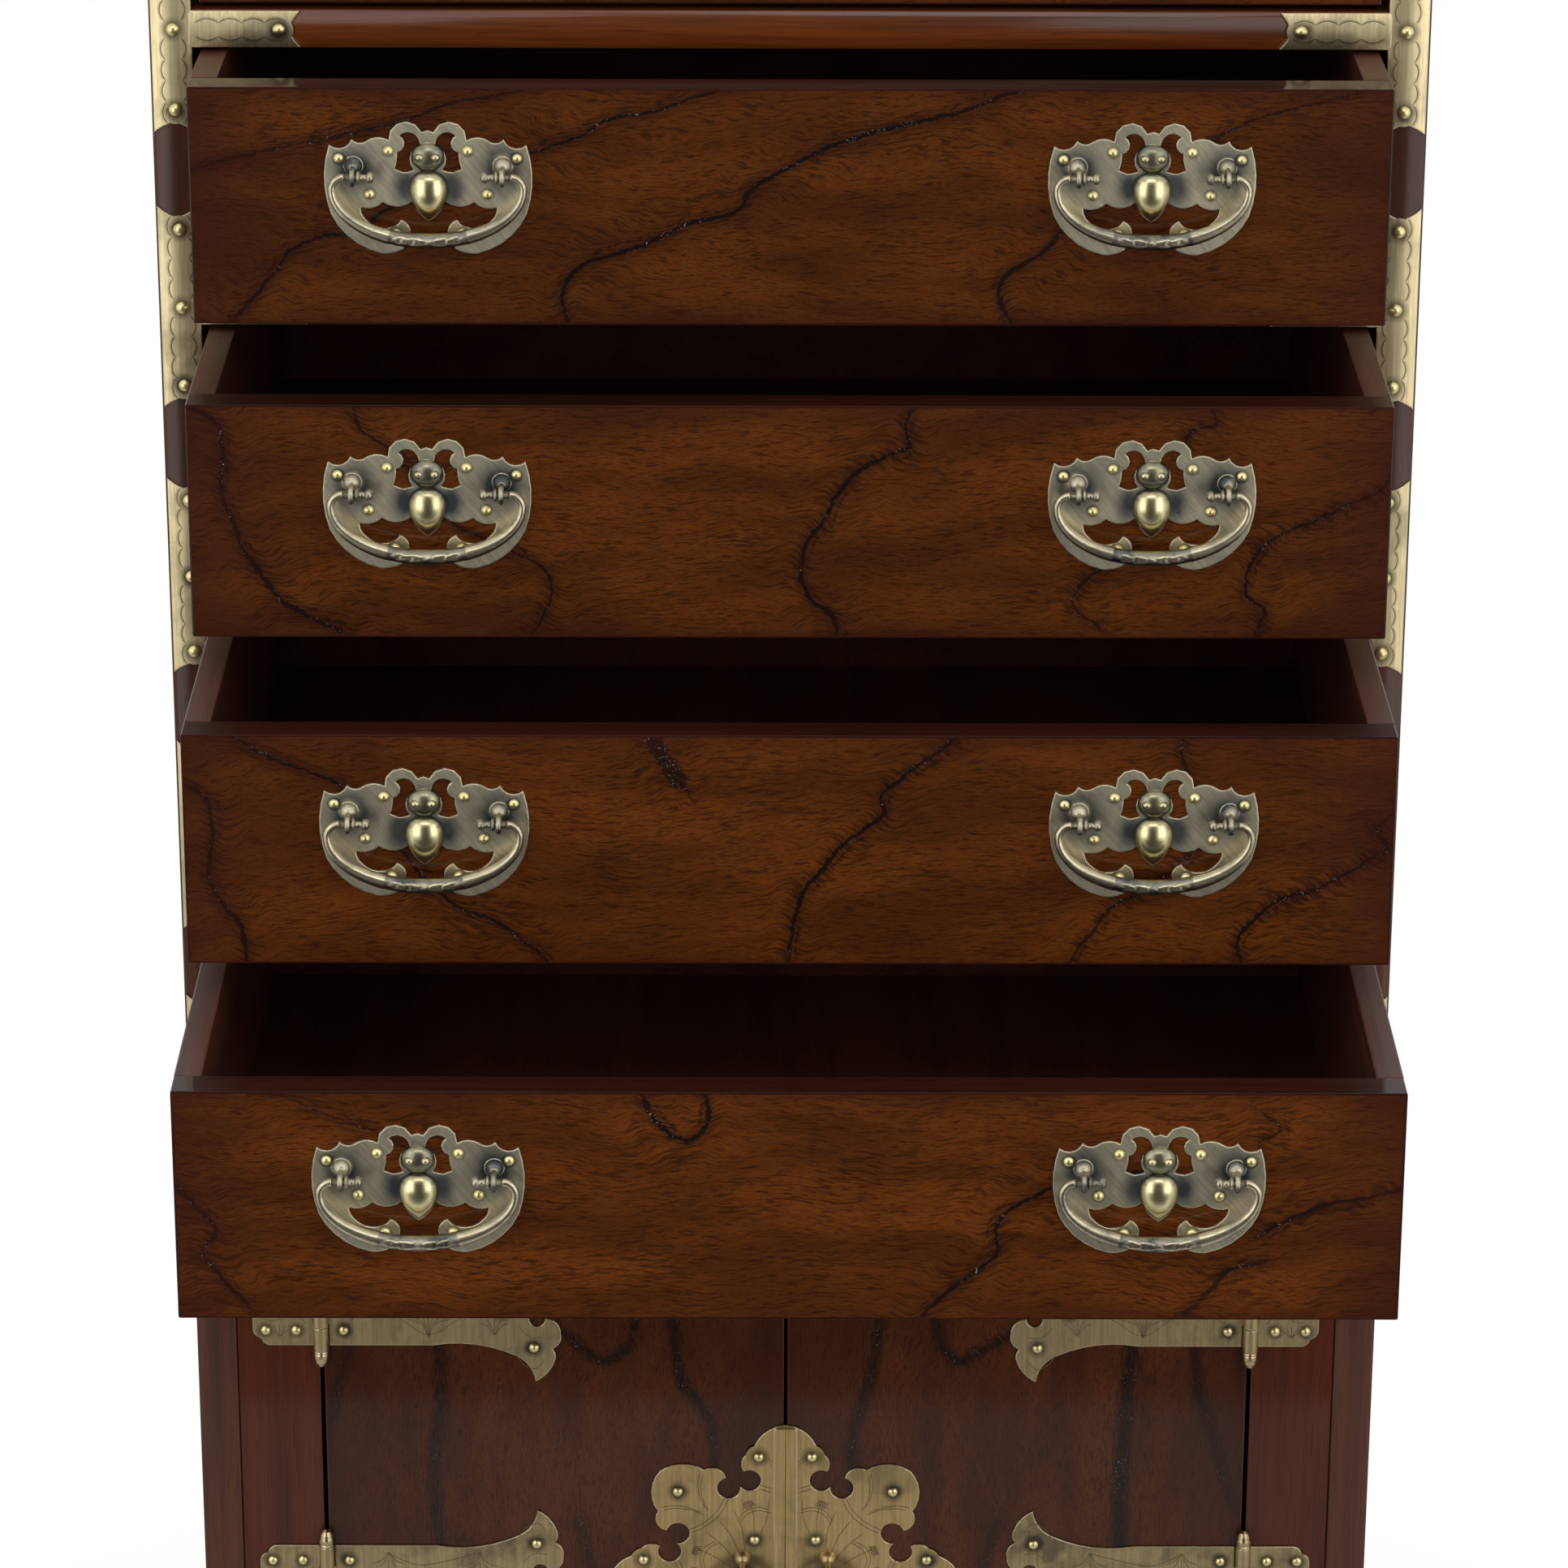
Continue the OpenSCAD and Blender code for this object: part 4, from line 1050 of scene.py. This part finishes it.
def add_bail_pin(batch, at, side):
    """The pin that turns in an eye, with a collar inside it and a knob at its end."""
    verts = [(at[0] + side * (EYE_X + along), at[1] + r * c, at[2] + r * s) for r, along in PIN
             for c, s in circle(PIN_SIDES)]
    batch.add(verts, grid_faces(len(PIN) - 1, PIN_SIDES, wrap=True), [PIN_PATINA] * len(verts))


def make_bails(m):
    for i in DRAWERS:
        for side in SIDES:
            name = f"drawer_{i}_bail_{side}"
            at = [c / MM for c in JOINTS[f"{name}_swing"]["pos_m"]]
            batch = Batch()
            add_bail_bar(batch, at)
            for s in (-1, 1):
                add_bail_pin(batch, at, s)
            made = batch.make(f"{name}_carved", m["bail"], name, "brass_bails")
            tidy_normals(made)
            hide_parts(name)


def tidy_normals(made):
    """Points every face outwards."""
    work = bmesh.new()
    work.from_mesh(made.data)
    bmesh.ops.recalc_face_normals(work, faces=work.faces)
    work.to_mesh(made.data)
    work.free()


# Veneers

# Figure lines on each drawer front: half width, strength, and points (x from the middle,
# height over the board's lower edge)
FIGURE = {
    1: [
        (0.7, 0.9, [(-262, 30), (-225, 24), (-180, 30), (-130, 22), (-96, 4)]),
        (0.8, 1.0, [(20, 106), (2, 92), (-14, 76), (-8, 60), (-30, 44), (-46, 26), (-40, 4)]),
        (0.7, 0.8, [(128, 106), (150, 88), (146, 70), (176, 52), (214, 40), (262, 36)]),
        (0.6, 0.7, [(230, 106), (221, 92), (240, 84)]),
    ],
    2: [
        (0.7, 0.8, [(-262, 70), (-238, 76), (-212, 82), (-192, 86), (-167, 92), (-146, 100), (-123, 104),
            (-109, 108)]),
        (0.8, 1.0, [(-244, 3), (-233, 15), (-224, 27), (-218, 34), (-204, 40), (-192, 42), (-170, 56),
            (-150, 62)]),
        (0.95, 1.0, [(-98, 2), (-100, 13), (-96, 22), (-87, 29), (-65, 36), (-44, 46), (-24, 51), (-16, 62),
            (4, 74), (26, 84), (48, 90), (73, 96), (94, 104), (108, 108)]),
        (1.1, 0.9, [(97, 2), (92, 14), (94, 22), (103, 28), (113, 35), (122, 46), (140, 60)]),
        (0.7, 1.0, [(-114, 77), (-97, 83), (-88, 87), (-81, 92), (-61, 96), (-40, 103), (-20, 108)]),
        (0.6, 0.8, [(182, 83), (193, 89), (207, 95), (228, 100), (252, 107)]),
    ],
    3: [
        (1.1, 1.0, [(-262, 106), (-248, 97), (-247, 81), (-248, 68), (-244, 56), (-239, 41), (-233, 31),
            (-225, 20), (-216, 12), (-197, 3)]),
        (0.7, 0.9, [(-190, 106), (-186, 95), (-176, 88), (-160, 71), (-146, 52), (-121, 40), (-107, 31),
            (-104, 22), (-107, 12), (-113, 2)]),
        (1.0, 1.0, [(55, 108), (50, 98), (52, 88), (40, 83), (28, 76), (20, 65), (15, 54), (8, 45), (5, 31),
            (9, 18), (18, 11), (21, 2)]),
        (0.9, 0.8, [(181, 108), (186, 99), (176, 96), (170, 89)]),
        (0.8, 0.8, [(150, 40), (135, 31), (127, 24), (125, 14), (136, 6)]),
        (0.7, 1.0, [(262, 74), (256, 67), (246, 63), (228, 54), (214, 48), (204, 38), (200, 26), (201, 19),
            (209, 13), (205, 2)]),
    ],
    4: [
        (0.8, 0.9, [(-244, 108), (-224, 96), (-199, 86), (-192, 81), (-169, 54), (-149, 30), (-132, 22),
            (-118, 13), (-106, 2)]),
        (1.0, 1.0, [(-262, 84), (-252, 77), (-250, 61), (-252, 41), (-247, 28), (-239, 17), (-237, 2)]),
        (4.2, 0.75, [(-60, 107), (-55, 97), (-48, 86)]),
        (1.0, 1.0, [(75, 108), (63, 98), (48, 87), (40, 79), (41, 71), (32, 63), (21, 54), (15, 45),
            (6, 34), (2, 19), (0, 2)]),
        (0.8, 0.8, [(171, 108), (169, 98), (172, 89), (180, 60), (160, 40), (141, 27), (134, 18),
            (123, 2)]),
        (0.9, 1.0, [(259, 69), (255, 62), (260, 54), (251, 49), (241, 43), (230, 36), (215, 31), (203, 22),
            (196, 12), (197, 2)]),
    ],
    5: [
        (0.9, 0.9, [(-262, 65), (-254, 54), (-245, 42), (-251, 32), (-246, 23), (-233, 7)]),
        (0.6, 0.6, [(-220, 107), (-193, 95), (-172, 86), (-158, 78)]),
        (1.1, 1.0, [(-64, 107), (-58, 96), (-52, 89), (-45, 84), (-38, 87), (-34, 96), (-36, 107)]),
        (0.9, 1.0, [(58, 2), (72, 16), (84, 26), (90, 33), (89, 43), (93, 51), (105, 58), (117, 64),
            (150, 70)]),
        (1.0, 0.9, [(262, 63), (248, 58), (231, 55), (217, 49), (203, 41)]),
        (0.8, 0.7, [(203, 96), (209, 90), (202, 85)]),
        (1.2, 0.7, [(170, 2), (183, 16), (190, 24), (204, 28)]),
    ],
}

# The same on each door, with heights over the door's middle
DOOR_FIGURE = {
    "left": [
        (2.2, 1.0, [(-210, 250), (-206, 170), (-212, 124), (-220, 95), (-226, 49), (-214, -60),
            (-219, -250)]),
        (3.6, 0.85, [(-170, 250), (-168, 112), (-171, 70), (-170, 23), (-160, -60), (-166, -250)]),
        (2.0, 0.9, [(-112, 136), (-101, 127), (-93, 120), (-86, 118), (-79, 123), (-73, 136), (-70, 190)]),
        (2.2, 0.6, [(-100, 30), (-90, -30), (-86, -120), (-98, -250)]),
        (2.4, 1.0, [(-58, 250), (-53, 120), (-42, 95), (-35, 74), (-38, 0), (-52, -110), (-46, -250)]),
    ],
    "right": [
        (2.4, 0.9, [(58, 250), (43, 122), (36, 91), (32, 66), (40, -20), (34, -120), (46, -250)]),
        (3.8, 1.0, [(176, 250), (167, 118), (165, 71), (164, 16), (172, -90), (160, -250)]),
        (2.4, 1.0, [(190, 250), (199, 116), (205, 91), (216, 49), (226, 16), (222, -120), (212, -250)]),
        (2.0, 0.9, [(70, 190), (73, 136), (78, 124), (85, 118), (92, 122), (101, 127), (113, 135)]),
        (2.2, 0.6, [(104, 30), (92, -30), (90, -130), (100, -250)]),
    ],
}
# Where no line is near, and how wide the lines are drawn
FAR = 60.0
LINE_SWELL = 0.9


def nearest_line(points, lines):
    """Signed distance from each point to the nearest line, and that line's half width and strength."""
    best = np.full(len(points), FAR)
    signed = np.full(len(points), FAR)
    halves = np.ones(len(points))
    strengths = np.zeros(len(points))
    for half, strength, raw in lines:
        half = half * LINE_SWELL
        line = np.array(curve_through(raw, 4))
        for a, b in zip(line[:-1], line[1:]):
            along = b - a
            f = np.clip(((points - a) @ along) / max(along @ along, 1e-9), 0, 1)
            away = points - a - f[:, None] * along
            gap = np.hypot(*away.T)
            side = np.where(along[0] * away[:, 1] - along[1] * away[:, 0] < 0, -1.0, 1.0)
            closer = gap < best
            best[closer], signed[closer] = gap[closer], (side * gap)[closer]
            halves[closer], strengths[closer] = half, strength
    return signed, halves, strengths


VENEER_LIFT = 0.1
VENEER_INSET = 0.9
DRAWER_GRID = 1.5
DOOR_GRID = 2.5
# How far the stain reaches in from a board's ends and from its long edges
END_STAIN = 60
SIDE_STAIN = 16
SIDE_STAIN_SHARE = 0.7


def veneer_sheet(body, node, lines, base_z, grid, material):
    """A leaf of veneer over a board's face, fine enough for its figure, whose heights are over base_z."""
    lo, hi = low(node), high(node)
    x0, x1, z0, z1 = lo.x + VENEER_INSET, hi.x - VENEER_INSET, lo.z + VENEER_INSET, hi.z - VENEER_INSET
    nx, nz = round((x1 - x0) / grid), round((z1 - z0) / grid)
    xs, zs = np.meshgrid(np.linspace(x0, x1, nx + 1), np.linspace(z0, z1, nz + 1))
    xs, zs = xs.ravel(), zs.ravel()
    gap, half, strength = nearest_line(np.stack([xs, zs - base_z], 1), lines)
    edge_x = np.minimum(xs - lo.x, hi.x - xs)
    edge_z = np.minimum(zs - lo.z, hi.z - zs)
    edge = np.maximum(1 - edge_x / END_STAIN, (1 - edge_z / SIDE_STAIN) * SIDE_STAIN_SHARE)
    edge = np.clip(edge, 0, 1) ** 1.4
    verts = [(x, lo.y - VENEER_LIFT, z) for x, z in zip(xs, zs)]
    marks = {"vein_gap": gap * MM, "vein_away": np.abs(gap) * MM, "vein_half": half * MM,
             "vein_strength": strength, "edge_near": edge}
    piece(f"{body}_veneer", verts, grid_faces(nz, nx), material, body, marks, smooth=False)


def lay_veneers(m):
    for i in DRAWERS:
        node = f"drawer_{i}_front"
        veneer_sheet(f"drawer_{i}", node, FIGURE[i], low(node).z, DRAWER_GRID, m[f"veneer_{i}"])
    for side in SIDES:
        door = f"door_{side}"
        veneer_sheet(door, door, DOOR_FIGURE[side], DOOR_MID_Z, DOOR_GRID, m[door])


# Finish of the frame's own pieces: a material for each CAD node, and wood_z for the rest

FINISHES = {
    "bracket": ("post_brackets",),
    "pin": ("hinge_pins",),
    "hinge": ("hinge_leaves", "hinge_straps_left", "hinge_straps_right"),
    "lock": ("lock_plate_left", "lock_plate_right"),
    "ring": ("ring_pull_left", "ring_pull_right"),
    "pull": [f"drawer_{i}_pull_plates" for i in DRAWERS],
    "bail": [f"drawer_{i}_bail_{side}" for i in DRAWERS for side in SIDES],
    "wood_x": ("top_panel", "top_rail", "drawer_rails", "bottom_rail", "base_front", "base_back"),
    "wood_y": ("base_sides",),
    "stile": ("door_stile_left", "door_stile_right", "door_left", "door_right"),
    "front_edge": [f"drawer_{i}_front" for i in DRAWERS],
    "inner": ["drawer_runners_left", "drawer_runners_right", "cabinet_ceiling", "cabinet_floor", "shelf",
              "shelf_cleats"] + [f"drawer_{i}_box" for i in DRAWERS],
    "inner_z": ("back_panel",),
}
FINISH_OF = {node: finish for finish, nodes in FINISHES.items() for node in nodes}
METALS = ("bracket", "pin", "hinge", "lock", "ring", "pull", "bail")
ROUNDED = 0.7


def finish_frame(m):
    for name, made in NODES.items():
        key = FINISH_OF.get(name, "wood_z")
        if made.material_slots:
            for place in made.material_slots:
                place.material = m[key]
        else:
            made.data.materials.append(m[key])
        if key in METALS:
            continue
        weld = made.modifiers.new("weld", "WELD")
        weld.merge_threshold = 0.00001
        bevel = made.modifiers.new("bevel", "BEVEL")
        bevel.width = ROUNDED * MM
        bevel.segments = 2
        bevel.limit_method = "ANGLE"
        bevel.angle_limit = math.radians(50)
        bevel.harden_normals = True


def make_world():
    """A white background that gloss shows as well, but for a dark part behind the camera."""
    world = bpy.data.worlds.new("studio")
    bpy.context.scene.world = world
    world.use_nodes = True
    t = Tree(world.node_tree)
    camera_ray, seen = seen_rays(t)
    way = t.node("SeparateXYZ", {0: t.node("TexCoord").outputs["Generated"]}).outputs["Y"]
    studio = t.step(way, -0.80, -0.40, 0.03, 0.95)
    strength = t.mul(seen, studio)
    strength = t.math("MAXIMUM", strength, camera_ray)
    strength = t.math("MAXIMUM", strength, t.mul(t.sub(1, seen), 0.40))
    back = t.node("Background", {"Color": (1, 1, 1, 1), "Strength": strength}).outputs[0]
    t.node("OutputWorld", {"Surface": back})


# The floor's ends in metres: left, right, front and back
FLOOR = (-3.2, 3.2, -1.0, 3.4)


def make_floor():
    """A pale floor that the camera sees as white away from the chest, and with its shadow near it."""
    x0, x1, y0, y1 = FLOOR
    mesh = bpy.data.meshes.new("floor")
    mesh.from_pydata([(x0, y0, 0), (x1, y0, 0), (x1, y1, 0), (x0, y1, 0)], [], [(0, 1, 2, 3)])
    material, t = new_material("floor_paper")
    camera_ray, _ = seen_rays(t)
    speck = t.noise(t.place(), 60, 2)
    colour = t.mix(t.step(speck, 0.4, 0.6), (0.80, 0.80, 0.80), (0.82, 0.82, 0.82))
    paper = t.node("BsdfDiffuse", {"Color": colour}).outputs[0]
    glow = t.node("Emission", {"Color": (1, 1, 1, 1), "Strength": 1.0}).outputs[0]
    away = t.node("VectorMath", {0: t.place()}, operation="LENGTH").outputs["Value"]
    bright = t.step(away, 0.38, 0.85, 0.75, 1.0)
    shown = t.node("MixShader", {0: t.mul(camera_ray, bright), 1: paper, 2: glow}).outputs[0]
    t.node("OutputMaterial", {"Surface": shown})
    mesh.materials.append(material)
    floor = add_object("floor", mesh)


bpy.context.scene.view_settings.view_transform = "Standard"
make_camera()
make_lights()
make_world()
make_floor()
materials = make_materials()
finish_frame(materials)
lay_veneers(materials)
dress_brackets(materials)
dress_hinges(materials)
dress_lock(materials)
dress_pulls(materials)
make_bails(materials)
